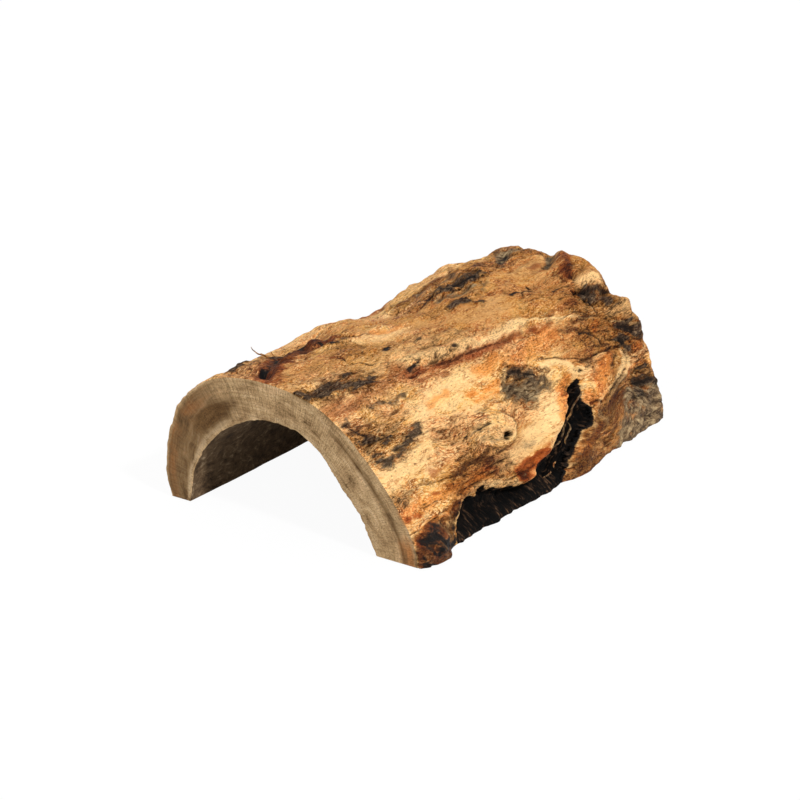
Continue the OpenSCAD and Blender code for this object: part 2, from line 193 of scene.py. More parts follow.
# Places where the wood is knobbly, speckled with dark flecks, or smooth and even:
# (half width, strength, points)
ROUGH = [
    (12, 1, [(118, 108), (145, 102), (175, 98), (212, 92)]), (9, 0.9, [(0, 112), (30, 112), (60, 104)]),
    (10, 1, [(196, 70), (204, 50), (206, 30)]), (9, 0.9, [(160, 4), (185, 6), (212, 8)]),
    (8, 0.7, [(98, 40), (116, 38)]), (14, 0.8, [(0, 150), (110, 145), (212, 140)]),
]
SPECKLED = [
    (8, 1, [(44, 37), (58, 38), (70, 35)]), (8, 1, [(40, 25), (58, 24), (76, 22)]),
    (8, 0.9, [(96, 32), (112, 30), (122, 36)]), (11, 1, [(4, 51), (26, 50)]), (9, 1, [(4, 81), (36, 76)]),
    (7, 0.7, [(60, 88), (80, 84), (104, 82)]), (7, 0.8, [(112, 90), (140, 88)]),
    (16, 1, [(186, 62), (204, 34)]), (14, 0.8, [(158, 14), (184, 14), (208, 14)]),
    (13, 1, [(6, 112), (36, 112), (62, 106)]), (12, 0.9, [(120, 106), (160, 102), (204, 98)]),
    (20, 0.35, [(0, 150), (110, 150), (212, 150)]), (8, 0.9, [(2, 6), (30, 12), (60, 18)]),
    (7, 0.7, [(60, 63), (100, 60), (140, 56)]), (14, 0.6, [(10, 90), (60, 94), (110, 90)]),
    (10, 0.65, [(20, 66), (70, 72), (120, 72)]), (12, 0.6, [(150, 70), (180, 78), (205, 92)]),
]
CALM = [
    (9, 1, [(92, 20), (104, 22), (113, 26), (118, 32)]), (6, 1, [(118, 36), (126, 40), (132, 42)]),
    (5, 0.6, [(136, 44), (145, 41.6), (148, 36), (149, 30)]), (5, 0.5, [(155, 27), (163, 31), (172, 35)]),
    (8, 0.9, [(176, 88), (186, 86), (194, 88)]), (8, 0.9, [(118, 80), (132, 77), (146, 76)]),
    (7, 0.8, [(70, 95), (84, 92), (100, 88)]), (4, 0.4, [(198, 66), (204, 63.5)]),
    (8, 0.8, [(6, 36), (24, 36), (40, 40)]), (6, 0.8, [(50, 52), (66, 55), (90, 54)]),
    (5, 0.7, [(74, 45), (92, 44)]), (6, 0.6, [(28, 30), (44, 31)]),
    (9, 0.6, [(14, 132), (60, 136), (96, 132)]), (8, 0.6, [(110, 160), (150, 164), (200, 158)]),
]

# Stains by colour: (half width, strength, points)
STAINS = {
    "cream": [
        (7, 0.75, [(42, 51), (60, 55), (75, 58), (86, 57)]), (3, 0.9, [(60, 49), (73, 49.5)]),
        (2.8, 1.4, [(62, 74), (72, 73), (80, 70.5), (92, 67.6), (104, 66.5)]),
        (1.6, 1.4, [(104, 66.5), (112, 65.5), (118, 63.5)]),
        (2.4, 1.5, [(120, 64.5), (128, 65.5), (137, 65)]), (6, 0.7, [(72, 20), (90, 20), (106, 25)]),
        (5, 0.9, [(98, 22), (108, 24), (117, 28)]), (2, 0.9, [(152, 18), (155, 15), (158, 12.5)]),
        (3.5, 0.8, [(195, 67.3), (200, 65.3), (205.2, 63.4)]), (4.5, 0.8, [(198.6, 50.7), (208.5, 46.5)]),
        (3, 0.6, [(136, 44.4), (145, 41.6), (147, 37), (149, 33.6), (149, 29.6)]),
        (2, 0.6, [(152, 34), (160, 36.5), (172, 37.4)]), (1.4, 1.2, [(92, 11.2), (89, 9)]),
        (1.7, 1.3, [(48, 14.6), (55, 16), (62, 13.8), (70, 12), (78, 10), (86, 8.8)]),
        (6, 0.7, [(4, 35), (20, 36), (36, 38)]), (3.5, 0.5, [(14, 86), (24, 85), (30, 84)]),
        (3, 0.7, [(62, 97), (68, 94)]), (0.9, 1.2, [(2, 47), (10, 49), (18, 54), (22, 55)]),
        (0.9, 1.2, [(13, 49.5), (25, 51.4), (32, 52.6)]), (0.7, 1, [(62, 69.2), (68, 70)]),
        (1.3, 0.9, [(20, 6), (24, 5.5), (26.5, 8), (28, 11)]), (1.2, 0.8, [(0.5, 4), (1, 14)]),
        (7, 0.55, [(2, 74), (20, 70), (40, 66)]), (6, 0.5, [(42, 78), (70, 79), (104, 76)]),
        (5, 0.6, [(15, 133), (60, 138), (110, 134)]), (4, 0.5, [(120, 158), (160, 160), (200, 156)]),
    ],
    "orange": [
        (6, 0.7, [(30, 152), (90, 154), (140, 148)]), (4, 0.7, [(150, 136), (180, 134), (205, 137)]),
        (4, 0.75, [(2, 19), (25, 20), (45, 18), (60, 18)]), (2, 0.95, [(79, 48.5), (90, 47.5), (99, 47)]),
        (1.6, 0.8, [(80, 45), (96, 44)]), (2.4, 0.8, [(54, 53), (60, 54), (68, 54)]),
        (4, 0.8, [(92, 55), (100, 54), (110, 57)]), (2.2, 0.9, [(2, 9), (10, 12), (20, 13)]),
        (2.6, 1.4, [(119.5, 25), (121.5, 28.5), (127, 31.2), (134, 33), (144, 35)]),
        (3, 0.7, [(147, 25), (153, 24), (159, 24)]),
        (4.5, 1, [(156, 28), (163, 30.5), (169, 32.5), (177, 35)]), (2, 1, [(147.5, 27), (150.5, 24)]),
        (2.6, 0.7, [(76, 97), (84, 94), (92, 93)]), (6, 0.7, [(110, 53), (130, 52), (150, 55)]),
        (3, 0.8, [(179, 47), (185, 49)]), (2, 0.8, [(200, 33), (208, 34)]),
        (2, 0.8, [(186, 26), (196, 27), (208, 25)]), (3, 0.8, [(24, 11), (30, 12), (36, 14)]),
        (1.4, 1, [(84, 8.6), (90, 8.8)]), (3.4, 1.5, [(84, 11.6), (90, 12.6), (96, 13.4), (103, 14.6)]),
        (3, 0.7, [(126, 8), (140, 9), (150, 12)]),
    ],
    "red": [
        (3.5, 0.8, [(110, 130), (150, 127), (190, 131)]), (3, 0.7, [(10, 165), (50, 168), (90, 164)]),
        (1.6, 0.9, [(3, 18), (9, 17)]), (1.2, 0.9, [(25, 21), (28, 20.5)]), (2, 0.7, [(30, 28), (36, 28)]),
        (2.6, 0.8, [(62, 20), (67, 17)]), (3, 1.6, [(84, 11.6), (90, 12.6), (96, 13.4), (103, 14.6)]),
        (6, 0.75, [(0, 70), (15, 68.5), (30, 69), (45, 70.5), (58, 70)]),
        (6, 0.4, [(4, 58), (20, 58), (36, 57)]),
        (2.8, 1.1, [(58, 68.6), (75, 65.6), (90, 64), (104, 62.4), (120, 61), (136, 60.6)]),
        (2.2, 0.8, [(62, 64), (74, 63), (79, 61.5)]), (2.2, 0.8, [(140, 60), (150, 59), (158, 58)]),
        (2.2, 0.7, [(158, 61), (170, 62), (182, 61)]), (3.6, 1.1, [(193.7, 72.5), (199, 75.5), (205, 79)]),
        (2.4, 0.8, [(188, 86), (194, 86)]),
        (6.5, 1.3, [(4, 102), (8, 104), (14, 105.5), (22, 107.5), (30, 109), (42, 111), (50, 111.5),
                    (60, 110.5)]),
        (1.3, 0.9, [(41, 95), (43, 92)]), (1.6, 0.7, [(124, 93), (130, 93)]),
        (2.2, 0.7, [(161, 19), (170, 20), (178, 20)]), (2.2, 0.9, [(6, 4), (10, 1.5)]),
        (1.6, 0.8, [(18, 3), (21, 5)]),
    ],
    "brown": [
        (2, 0.8, [(20, 143), (55, 146), (85, 143)]), (1.6, 0.8, [(110, 150), (150, 153), (190, 149)]),
        (5, 0.6, [(140, 170), (175, 168), (208, 172)]),
        (1.8, 0.55, [(41, 34), (43, 38), (48, 40), (56, 42), (61, 43)]),
        (0.8, 0.9, [(48, 28), (53, 28), (58, 29.5), (66, 29.5)]),
        (1.9, 0.9, [(43, 23.5), (52, 25.5), (60, 24), (68, 21.5)]),
        (0.6, 0.9, [(70, 22.5), (78, 23), (85, 23)]), (1.6, 0.7, [(19, 26), (24, 27), (28, 25)]),
        (1.4, 0.9, [(2, 57.5), (12, 58.5), (20, 57.5)]), (5, 0.3, [(2, 61), (20, 62), (38, 59)]),
        (4, 0.35, [(6, 74), (24, 73), (38, 72)]), (5, 0.4, [(4, 48), (16, 49), (26, 50)]),
        (0.7, 0.8, [(20, 58.6), (30, 57.5), (38, 58)]), (1.2, 0.9, [(62, 104), (68, 100), (72, 98)]),
        (2.2, 0.8, [(156.5, 52.2), (163.7, 51.8), (168.8, 49.5)]), (1.2, 0.7, [(131, 48), (135, 47)]),
        (0.9, 0.9, [(171, 42), (175, 40.5), (182, 39)]), (1, 0.8, [(150, 8), (158, 9)]),
        (4.5, 0.75, [(5, 102.5), (14, 105.5), (24, 108), (34, 110), (50, 111.6), (58, 111)]),
        (1.6, 0.9, [(84, 10.8), (90, 11.6), (95, 12.4)]),
        (9, 0.75, [(126, 4), (146, 11), (164, 17), (178, 20)]), (4, 0.7, [(114, -1), (140, -1), (168, 0)]),
        (2, 0.7, [(183, 18), (172, 14), (161, 7), (144, 2)]),
        (1.6, 0.9, [(207, 86.5), (199, 83.4), (190, 81)]), (1.3, 0.9, [(197, 102.5), (189, 99.5)]),
        (2.6, 0.7, [(194, 72), (198.5, 75), (203, 77.5)]), (2.4, 0.8, [(183, 97), (190, 101), (202, 108)]),
        (1.4, 0.7, [(160, 107), (168, 112)]), (1.4, 0.7, [(120, 43), (126, 43), (132, 42)]),
        (1.4, 0.7, [(88, 42), (96, 40)]), (9.5, 1, [(7, 1), (12, 2), (20, 1)]),
        (3.5, 0.8, [(4, 9), (12, 10.5), (20, 10), (26, 5)]), (2.4, 0.8, [(3, 62), (6, 57.5), (9, 52)]),
        (0.7, 0.9, [(76, 66.4), (90, 65), (104, 63.6), (120, 62)]),
        (3, 0.75, [(126, 115), (137, 113.5), (154, 112.5), (162, 109), (168, 105), (180, 103)]),
        (2.6, 0.8, [(186, 101), (192, 102), (199, 102)]), (1.6, 0.7, [(20, 11), (26, 10), (30, 9)]),
        (2.8, 1.1, [(26, 0), (28, 5), (32, 10), (37, 13)]), (3.4, 1.2, [(19, 0), (24, 1), (29, 2)]),
    ],
    "grey": [
        (4, 0.8, [(150, 142), (163, 140), (172, 142)]), (3, 0.8, [(64, 158), (80, 156)]),
        (1.4, 0.9, [(24, 63.5), (29, 64.5), (34, 63.5)]), (1.8, 0.9, [(37, 61), (43, 62), (47, 61.5)]),
        (1.4, 0.9, [(2, 62), (6, 62.5), (7, 64.5)]), (4, 0.6, [(2, 25), (14, 25)]),
        (3, 0.55, [(85, 22), (96, 20)]), (2.4, 0.6, [(138, 90), (148, 88.5), (158, 91)]),
        (3.5, 0.5, [(16, 87), (28, 85)]), (2, 0.6, [(166, 42), (172, 44)]),
        (3, 0.5, [(170, 23), (182, 25)]),
    ],
    "black": [
        (0.9, 1, [(61, 70), (64, 71.2), (70, 71)]), (0.5, 1, [(68, 34.8), (73, 35), (77, 34.4)]),
        (0.6, 1, [(60, 34.3), (61.5, 34.5)]), (1.1, 1, [(62.5, 83.6), (66.5, 84)]),
        (1.2, 0.8, [(80, 79.3), (84, 79.8)]), (0.9, 0.8, [(92, 69), (94, 68.4)]),
        (1, 1, [(53, 108.6), (54, 107)]), (1.2, 1, [(52.6, 102.3), (53.6, 101)]),
        (0.7, 0.9, [(66, 100.2), (69, 99)]), (0.8, 1, [(155, 78.3), (160, 78.5), (163, 77)]),
        (0.9, 0.9, [(166, 77), (169, 75.5)]), (0.8, 0.9, [(177, 69.3), (184, 68.7), (192, 68.2)]),
        (1.2, 0.9, [(167, 48.5), (171, 48), (173.5, 47)]), (0.7, 0.9, [(162, 20), (163, 20)]),
        (0.7, 0.9, [(105, 46.5), (110, 48), (115, 46)]), (0.8, 1, [(150, 35.6), (150.6, 35.6)]),
        (2.2, 1, [(8, 106), (10, 107.4)]), (1.5, 1, [(12, 106), (17, 108)]),
        (1.2, 0.9, [(21, 108), (28, 110)]), (1.2, 0.9, [(44, 111.4), (48, 112)]),
        (1.6, 0.9, [(146, 99.6), (152, 98), (156, 96)]), (1, 0.8, [(134, 100), (142, 99)]),
        (0.6, 0.8, [(128, 102), (138, 104), (147, 105)]),
        (0.9, 0.9, [(187, 101), (193, 102.5), (197, 102)]), (0.7, 0.8, [(141, 112), (146, 110)]),
        (0.7, 0.8, [(160, 109), (167, 106)]), (1.2, 0.8, [(129, 90), (134, 88.6)]),
        (1, 0.8, [(160, 97), (168, 98)]), (0.6, 0.8, [(125, 105), (132, 100.6)]),
        (0.8, 0.8, [(107, 46), (108, 48.4), (116, 46.6), (124, 41.6)]),
        (0.6, 0.9, [(196, 31), (200, 29.8)]), (2.2, 0.75, [(195, 43), (204, 40)]),
        (1.6, 0.75, [(192, 38.6), (196, 35)]), (1.6, 0.7, [(192, 20), (200, 18.6), (207, 18.4)]),
        (1.8, 1, [(13, 9.5), (14, 6.5), (16, 4)]), (1.4, 0.9, [(2, 4), (4, 1), (8, -1)]),
        (1.1, 0.8, [(3, 62), (6, 57.5), (8, 54)]), (2, 0.9, [(22, 0), (26, 1), (29, 2)]),
        (1.2, 0.8, [(27.5, 0), (29.5, 5), (33.5, 10), (38.5, 12.5)]),
    ],
    "ash": [
        (8, 1, [(186, 14), (198, 12), (210, 10)]), (6, 1, [(174, 5), (187, 6), (206, 4)]),
        (6, 1.2, [(170, -1), (190, 0), (212, -1)]), (5, 1, [(103, 42), (109, 38), (119, 40)]),
        (3, 0.4, [(64, 33), (70, 33.6), (75, 33)]), (1.2, 0.5, [(72, 28), (79, 27), (85, 26.4)]),
        (2.5, 0.9, [(208, 87), (200, 83.6)]), (3, 0.9, [(190, 102), (199, 102.7), (206, 100.4)]),
        (3, 0.7, [(128, 97), (140, 93), (150, 92)]), (2.4, 0.7, [(138, 112), (150, 109), (160, 107)]),
    ],
    "tan": [
        (12, 1, [(100, 100), (130, 95), (165, 92), (205, 95)]), (9, 0.9, [(140, 70), (170, 68), (195, 72)]),
        (10, 0.8, [(60, 110), (100, 105)]), (8, 1.5, [(118, 0), (150, 2), (180, 4)]),
        (14, 1.2, [(100, 84), (130, 78), (160, 82), (190, 86)]),
        (6, 1.3, [(126, 113), (146, 110), (166, 105), (190, 102)]),
        (16, 1.2, [(150, 74), (180, 70), (208, 74)]), (16, 1.3, [(160, 46), (185, 44), (208, 44)]),
        (12, 1.1, [(150, 12), (180, 14), (208, 14)]), (9, 0.95, [(40, 22), (70, 20), (100, 24)]),
        (10, 0.7, [(5, 97), (30, 97), (60, 90)]), (10, 0.7, [(40, 80), (70, 82), (100, 78)]),
        (11, 1.5, [(128, 3), (150, 12), (168, 19), (182, 22)]),
        (12, 0.7, [(20, 140), (100, 140), (200, 140)]),
    ],
}

# Grey fragments of bark left on the wood, by the part that they stand for: (half width, strength, points)
BARK = {
    "bark_front_shoulder": [
        (2.8, 1, [(2, 82), (8, 80), (12, 78.5)]), (2.2, 1, [(12, 82), (18, 81.5)]),
        (3.4, 1, [(17, 78.6), (28, 77.6)]), (1.8, 1, [(10, 79), (20, 77)]),
        (1.2, 1, [(29.5, 81.5), (33.5, 81.8)]), (2.8, 1, [(31, 75), (37, 74.4), (41, 75.5)]),
        (1.1, 1, [(30, 76), (39, 77)]),
    ],
    "bark_front_flank": [
        (1.6, 1, [(3, 53.5), (8, 52.5), (12, 52)]), (1.6, 1, [(5, 45.6), (9, 44.6)]),
        (1.3, 1, [(16, 47.6), (21, 48.6)]), (2.3, 1, [(5, 42.4), (10, 40.8), (19, 41.2), (28, 43)]),
        (2.3, 1, [(27, 44), (33, 46), (38, 47)]),
    ],
    "bark_burl": [
        (3.4, 0.75, [(109, 47), (117, 45), (125, 40.5)]), (3.4, 0.6, [(104, 43.5), (112, 41), (121, 37)]),
        (2.6, 0.6, [(100, 41), (104, 37.5), (110, 34.5)]),
    ],
    "bark_crown_front": [
        (1.7, 1, [(121, 88.5), (126, 88), (130, 88)]), (1.7, 1, [(131, 87), (134, 85), (137, 83)]),
    ],
    "bark_crown_back": [
        (3.4, 1, [(138, 99.5), (148, 98.5), (156, 96.5), (167, 98)]), (1.4, 1, [(131, 99), (140, 97)]),
        (0.7, 1, [(119, 99.3), (126, 99), (134, 98.8)]),
    ],
    "bark_back_shoulder": [
        (2.6, 1, [(190.6, 61), (197, 59.5), (202, 57.5)]), (2, 1, [(201, 57), (200.5, 53.5)]),
        (1.2, 1, [(189, 64), (196, 62.5), (206, 60.6)]),
    ],
    "bark_back_flank": [
        (3, 1, [(195, 44), (204, 40.5), (210, 38)]), (2.6, 1, [(191, 38.8), (195.3, 34.6)]),
        (2, 1, [(194, 41), (199, 38)]),
    ],
    "bark_back_foot": [
        (2.6, 0.9, [(191, 20.4), (200.6, 19), (210, 17.8)]), (1.6, 1, [(189.6, 17), (197, 15)]),
        (1.8, 0.8, [(198, 25.4), (206, 24)]),
    ],
    "bark_left_front": [
        (2.2, 1, [(9, 119.5), (14, 121.5), (22, 122.5)]), (1.8, 1, [(28, 113), (35, 115.5), (42, 115.8)]),
    ],
}
ALL_BARK = [fragment for fragments in BARK.values() for fragment in fragments]

# Lines of a plate from one side to the other: height as a share of the plate's, or millimetres below the
# wood, then distance from the middle as a share of the thickness, and 1 on the pale edge
PLATE_PROFILE = [(-3, 1.2, 0), (0.75, 0.9, 0), (1, 0.45, 1), (1, -0.45, 1), (0.75, -0.9, 0), (-3, -1.2, 0)]

# The colour layers that carry the stains, and the painted shade of the hollows, to the materials, in red,
# green, blue and alpha
STAIN_LAYERS = {
    "stain_warm": ("cream", "orange", "red", "brown"),
    "stain_dark_and_shade": ("grey", "black", "tan", "hollow_shade"),
}
CUT_LAYERS = {"stain_warm": ("pale", "orange", "streaked", "brown")}

# Bands of the map that the finish is baked with
OUTSIDE_BAND, BORE_BAND = (0, 0.6), (0.62, 0.78)
FRONT_BAND, BACK_BAND = (0.80, 0.87), (0.88, 0.95)
RIGHT_BAND, LEFT_BAND = (0.96, 0.975), (0.98, 0.995)
LENS_BAND, UNDERSIDE_SHIFT = (0, 0.48), 0.5


# Noise, the same each time: a seed only tells one pattern from another

def lattice(i, j, seed):
    """A number from -1 to 1 for each corner of a grid, by mixing its bits."""
    mixed = (i * 374761393 + j * 668265263 + seed * 974634777) & 0xFFFFFFFF
    mixed = ((mixed ^ (mixed >> 13)) * 1274126177) & 0xFFFFFFFF
    return ((mixed ^ (mixed >> 16)) & 0xFFFF) / 32767.5 - 1.0


def eased(t):
    return t * t * (3 - 2 * t)


def noise(x, y, seed):
    i = np.floor(x).astype(np.int64)
    j = np.floor(y).astype(np.int64)
    fx = eased(x - i)
    fy = eased(y - j)
    low = lattice(i, j, seed) * (1 - fx) + lattice(i + 1, j, seed) * fx
    high = lattice(i, j + 1, seed) * (1 - fx) + lattice(i + 1, j + 1, seed) * fx
    return low * (1 - fy) + high * fy


def fractal(x, y, seed, octaves=4):
    """Noise with finer and weaker noise laid over it, brought back to about -1 to 1."""
    layers = (noise(x * 2 ** k, y * 2 ** k, seed + k) / 2 ** k for k in range(octaves))
    return sum(layers) / 1.6


# Shapes on the unrolled log, on a grid of rows along it and columns round it

along = np.linspace(0, LENGTH, ROWS + 1)
along[1] = RIM
along[-2] = LENGTH - RIM
around = 180 * (np.arange(COLS + 1) / COLS) ** RIGHT_CROWDING
# Y is the distance from the front cut, A the angle, and S the way round the unrolled log in millimetres
Y, A = np.meshgrid(along, around, indexing="ij")
S = A * MM_PER_DEGREE
EVERYWHERE = np.full(Y.shape, True)


def lumpy(length, width, seed, octaves):
    """Noise with lumps of a length along the log and a width round it."""
    return fractal(Y / length, S / width, seed, octaves)


def smooth(low, high, value):
    """A soft step from 0 at low to 1 at high."""
    return eased(np.clip((value - low) / (high - low), 0, 1))


def ridge(away, half_width):
    """A rounded ridge: 1 on its line and nearly 0 at two half widths from it."""
    return np.exp(-(away / half_width) ** 2)


def blurred(field, sigma_rows, sigma_cols):
    for axis, sigma in ((0, sigma_rows), (1, sigma_cols)):
        reach = int(math.ceil(3 * sigma))
        weights = np.exp(-0.5 * (np.arange(-reach, reach + 1) / sigma) ** 2)
        weights /= weights.sum()
        margin = [(0, 0), (0, 0)]
        margin[axis] = (reach, reach)
        padded = np.pad(field, margin, mode="reflect", reflect_type="odd")
        size = field.shape[axis]
        field = sum(w * np.take(padded, range(k, k + size), axis) for k, w in enumerate(weights))
    return field


def to_flat(points):
    return [(y, a * MM_PER_DEGREE) for y, a in points]


def distance_to(points, y, s):
    """Millimetres from each place to a line of points."""
    best = np.full(y.shape, np.inf)
    flat = to_flat(points)
    for (y0, s0), (y1, s1) in zip(flat, flat[1:]):
        dy, ds = y1 - y0, s1 - s0
        t = np.clip(((y - y0) * dy + (s - s0) * ds) / (dy * dy + ds * ds), 0, 1)
        best = np.minimum(best, np.hypot(y - y0 - t * dy, s - s0 - t * ds))
    return best


def inside(points):
    flat = to_flat(points)
    odd = np.zeros(Y.shape, bool)
    for (y0, s0), (y1, s1) in zip(flat, flat[1:] + flat[:1]):
        crosses = (s0 > S) != (s1 > S)
        step = np.where(crosses, (S - s0) / (s1 - s0 if s1 != s0 else 1), 0)
        odd ^= crosses & (Y < y0 + step * (y1 - y0))
    return odd


def outline_depth(points):
    """Millimetres inside an outline, less than nothing outside it."""
    away = distance_to(points + points[:1], Y, S)
    return np.where(inside(points), away, -away)


def ellipse(place, lean=0.0):
    """Distance from the middle of an ellipse, as a share of its radius."""
    y0, a0, half_y, half_s = place
    dy, ds = Y - y0, S - a0 * MM_PER_DEGREE
    c, d = math.cos(lean), math.sin(lean)
    return np.hypot((dy * c + ds * d) / half_y, (ds * c - dy * d) / half_s)


# The frame's own surface, felt with rays

def feeler(*names):
    points, faces = [], []
    for name in names:
        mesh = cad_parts[name].data
        start = len(points)
        points += [v.co for v in mesh.vertices]
        faces += [[start + i for i in p.vertices] for p in mesh.polygons]
    return BVHTree.FromPolygons(points, faces)


def felt_radius(tree, rows, cols, from_outside):
    """Radius of the frame's surface at each row and column, zero where a ray meets nothing."""
    radius = np.zeros((len(rows), len(cols)))
    for i, y in enumerate(np.clip(rows, FEEL_MARGIN, LENGTH - FEEL_MARGIN)):
        for j, a in enumerate(np.radians(np.clip(cols, FEEL_MARGIN, 180 - FEEL_MARGIN))):
            out = Vector((math.cos(a), 0, math.sin(a)))
            axis = Vector((AXIS_X * MM, (FRONT_Y + y) * MM, 0))
            start = axis + out * FAR * MM if from_outside else axis
            hit = tree.ray_cast(start, -out if from_outside else out, FAR * MM)
            if hit[0] is not None:
                radius[i, j] = (FAR - hit[3] / MM) if from_outside else hit[3] / MM
    return radius


# Grain and strokes

def grain_field():
    """Millimetres along the fibre and across it, where it flows round the knots."""
    u, v = Y, S
    for turn, place in SWIRLS:
        y0, s0 = place[0], place[1] * MM_PER_DEGREE
        angle = turn * np.clip(1 - ellipse(place), 0, 1) ** 1.5
        du, dv = u - y0, v - s0
        u = y0 + du * np.cos(angle) - dv * np.sin(angle)
        v = s0 + du * np.sin(angle) + dv * np.cos(angle)
    return u, v + 5 * lumpy(70, 45, 11, 2) + 1.2 * lumpy(16, 14, 12, 2)


U, V = grain_field()


def fibrous(length, width, seed, octaves):
    """Noise that is drawn out along the grain."""
    return fractal(U / length, V / width, seed, octaves)


# The edges of strokes wander, and are frayed along the grain
WANDER_Y = Y + 1.8 * lumpy(11, 7, 21, 3)
WANDER_S = S + 0.9 * lumpy(9, 6, 22, 3)
TORN = fibrous(5, 1.8, 23, 3)


def strokes(lines, fray=0.5):
    """The strongest of the strokes at each place."""
    total = np.zeros(Y.shape)
    for half_width, strength, points in lines:
        away = distance_to(points, WANDER_Y, WANDER_S) / half_width
        edge = away + fray * TORN * (1 + 1.2 / half_width)
        total = np.maximum(total, strength * smooth(*STROKE_FADE, edge))
    return total


def widened(lines, times, strength=None):
    """Wider strokes on the same lines, all of one strength if it is given."""
    return [(times * half_width, strength or own, points) for half_width, own, points in lines]


def traced(lines):
    """Crisp lines: (half width, depth or height, millimetres from each place to the line)."""
    y = Y + 0.7 * noise(Y / 6, S / 4, 44)
    s = S + 0.4 * noise(Y / 5, S / 4, 45)
    return [(half_width, amount, distance_to(points, y, s)) for half_width, amount, points in lines]


# How far inside the seam and the knot each place lies, and how far from the middle of the beetle hole. The
# seam is more ragged in front, where it is a hollow, than behind, where it is a fissure.
ragged = 0.8 + smooth(100, 88, Y)
seam_edge = outline_depth(SEAM_OUTLINE) + ragged * lumpy(4, 3.4, 31, 3)
knot_edge = outline_depth(KNOT_OUTLINE) + 0.6 * lumpy(5, 4, 32, 3)
hole_reach = ellipse(BEETLE_HOLE, HOLE_LEAN) + 0.1 * lumpy(2, 2, 33, 2)

# Shares, from 0 to 1, of the knot's face, the char, the cracks and the calm wood
knot_face = smooth(-2.0, 3.5, knot_edge + 2.4 * lumpy(7, 5, 39, 3)) * smooth(58, 70, Y)
char = smooth(-0.5, 0.7, seam_edge)
cracks = smooth(0.13, 0.02, np.abs(fibrous(34, 5, 34, 3))) * smooth(-0.1, 0.35, lumpy(20, 12, 35, 2))
calm = np.maximum(strokes(CALM, 0.3), 0.2 * knot_face)
traced_creases = traced(CREASES)
traced_welts = traced(WELTS)


# Relief of the outside

def relief():
    height = KNOB_HEIGHT * lumpy(6, 4.5, 46, 2)
    height += ROUGH_HEIGHT * strokes(ROUGH) * lumpy(7.5, 5.5, 47, 3)
    fibres = FIBRE_HEIGHT * fibrous(24, 2.8, 42, 3) + FINE_FIBRE_HEIGHT * fibrous(8, 1.6, 43, 2)
    height += (fibres - CRACK_DEPTH * cracks) * (1 - 0.7 * calm)
    y = Y + 1.5 * noise(Y / 7, S / 5, 44)
    s = S + 0.5 * noise(Y / 5, S / 4, 45)
    for rise, half_width, points in LINES:
        height += rise * ridge(distance_to(points, y, s), half_width)
    for half_width, depth, away in traced_creases:
        height -= depth * ridge(away, half_width)
    for half_width, rise, away in traced_welts:
        height += rise * ridge(away, half_width)
    # The seam, and the knot's rim and the groove round it
    height -= SEAM_DEPTH * smooth(-0.4, 2.2, seam_edge) * smooth(0, 7, A)
    height += KNOT_HEIGHT * ridge(knot_edge - 1.0, 1.1) * smooth(78, 90, Y)
    height -= KNOT_GROOVE * ridge(knot_edge + 1.2, 0.9) * smooth(86, 93, Y)
    return height


def outside_radius():
    """Radius of the outside: the solids' own, evened out, with the relief, which is lower near the cuts."""
    even = blurred(felt_radius(feeler("log_wall", "side_knot"), along, around, True), 2.4, 2.6)
    at_front = 0.15 + 0.15 * smooth(118, 140, A)
    near_front = at_front + (1 - at_front) * smooth(0, 6, Y)
    near_back = 0.5 + 0.5 * smooth(LENGTH, LENGTH - 5, Y)
    radius = even + relief() * (near_front * near_back)
    radius -= LEFT_FOOT_ROUNDING * smooth(171, 180, A) * smooth(30, 0, Y)
    radius[[0, -1]] -= RIM_DROP
    return radius


# The radius of the outside, the painted shade of its hollows, and its ridges, pale from wear and from painted
# highlight
R = outside_radius()
# Painted shade: darker where the surface lies below its own blur, in hollows and in fine creases
hollows = smooth(0.0, 1.6, blurred(R, 3.0, 3.0) - R)
hollow_shade = np.maximum(hollows, 0.9 * smooth(0.05, 0.5, blurred(R, 1.2, 1.2) - R))
# Ridges that stand above their blur: paler for wear, and a painted highlight
worn_and_highlit = smooth(0.05, 0.6, R - blurred(R, 1.5, 1.5))
R = R - HOLE_DEPTH * smooth(1.05, 0.6, hole_reach)
even_outside = blurred(R, 3.0, 3.0)


# Stains and flecks

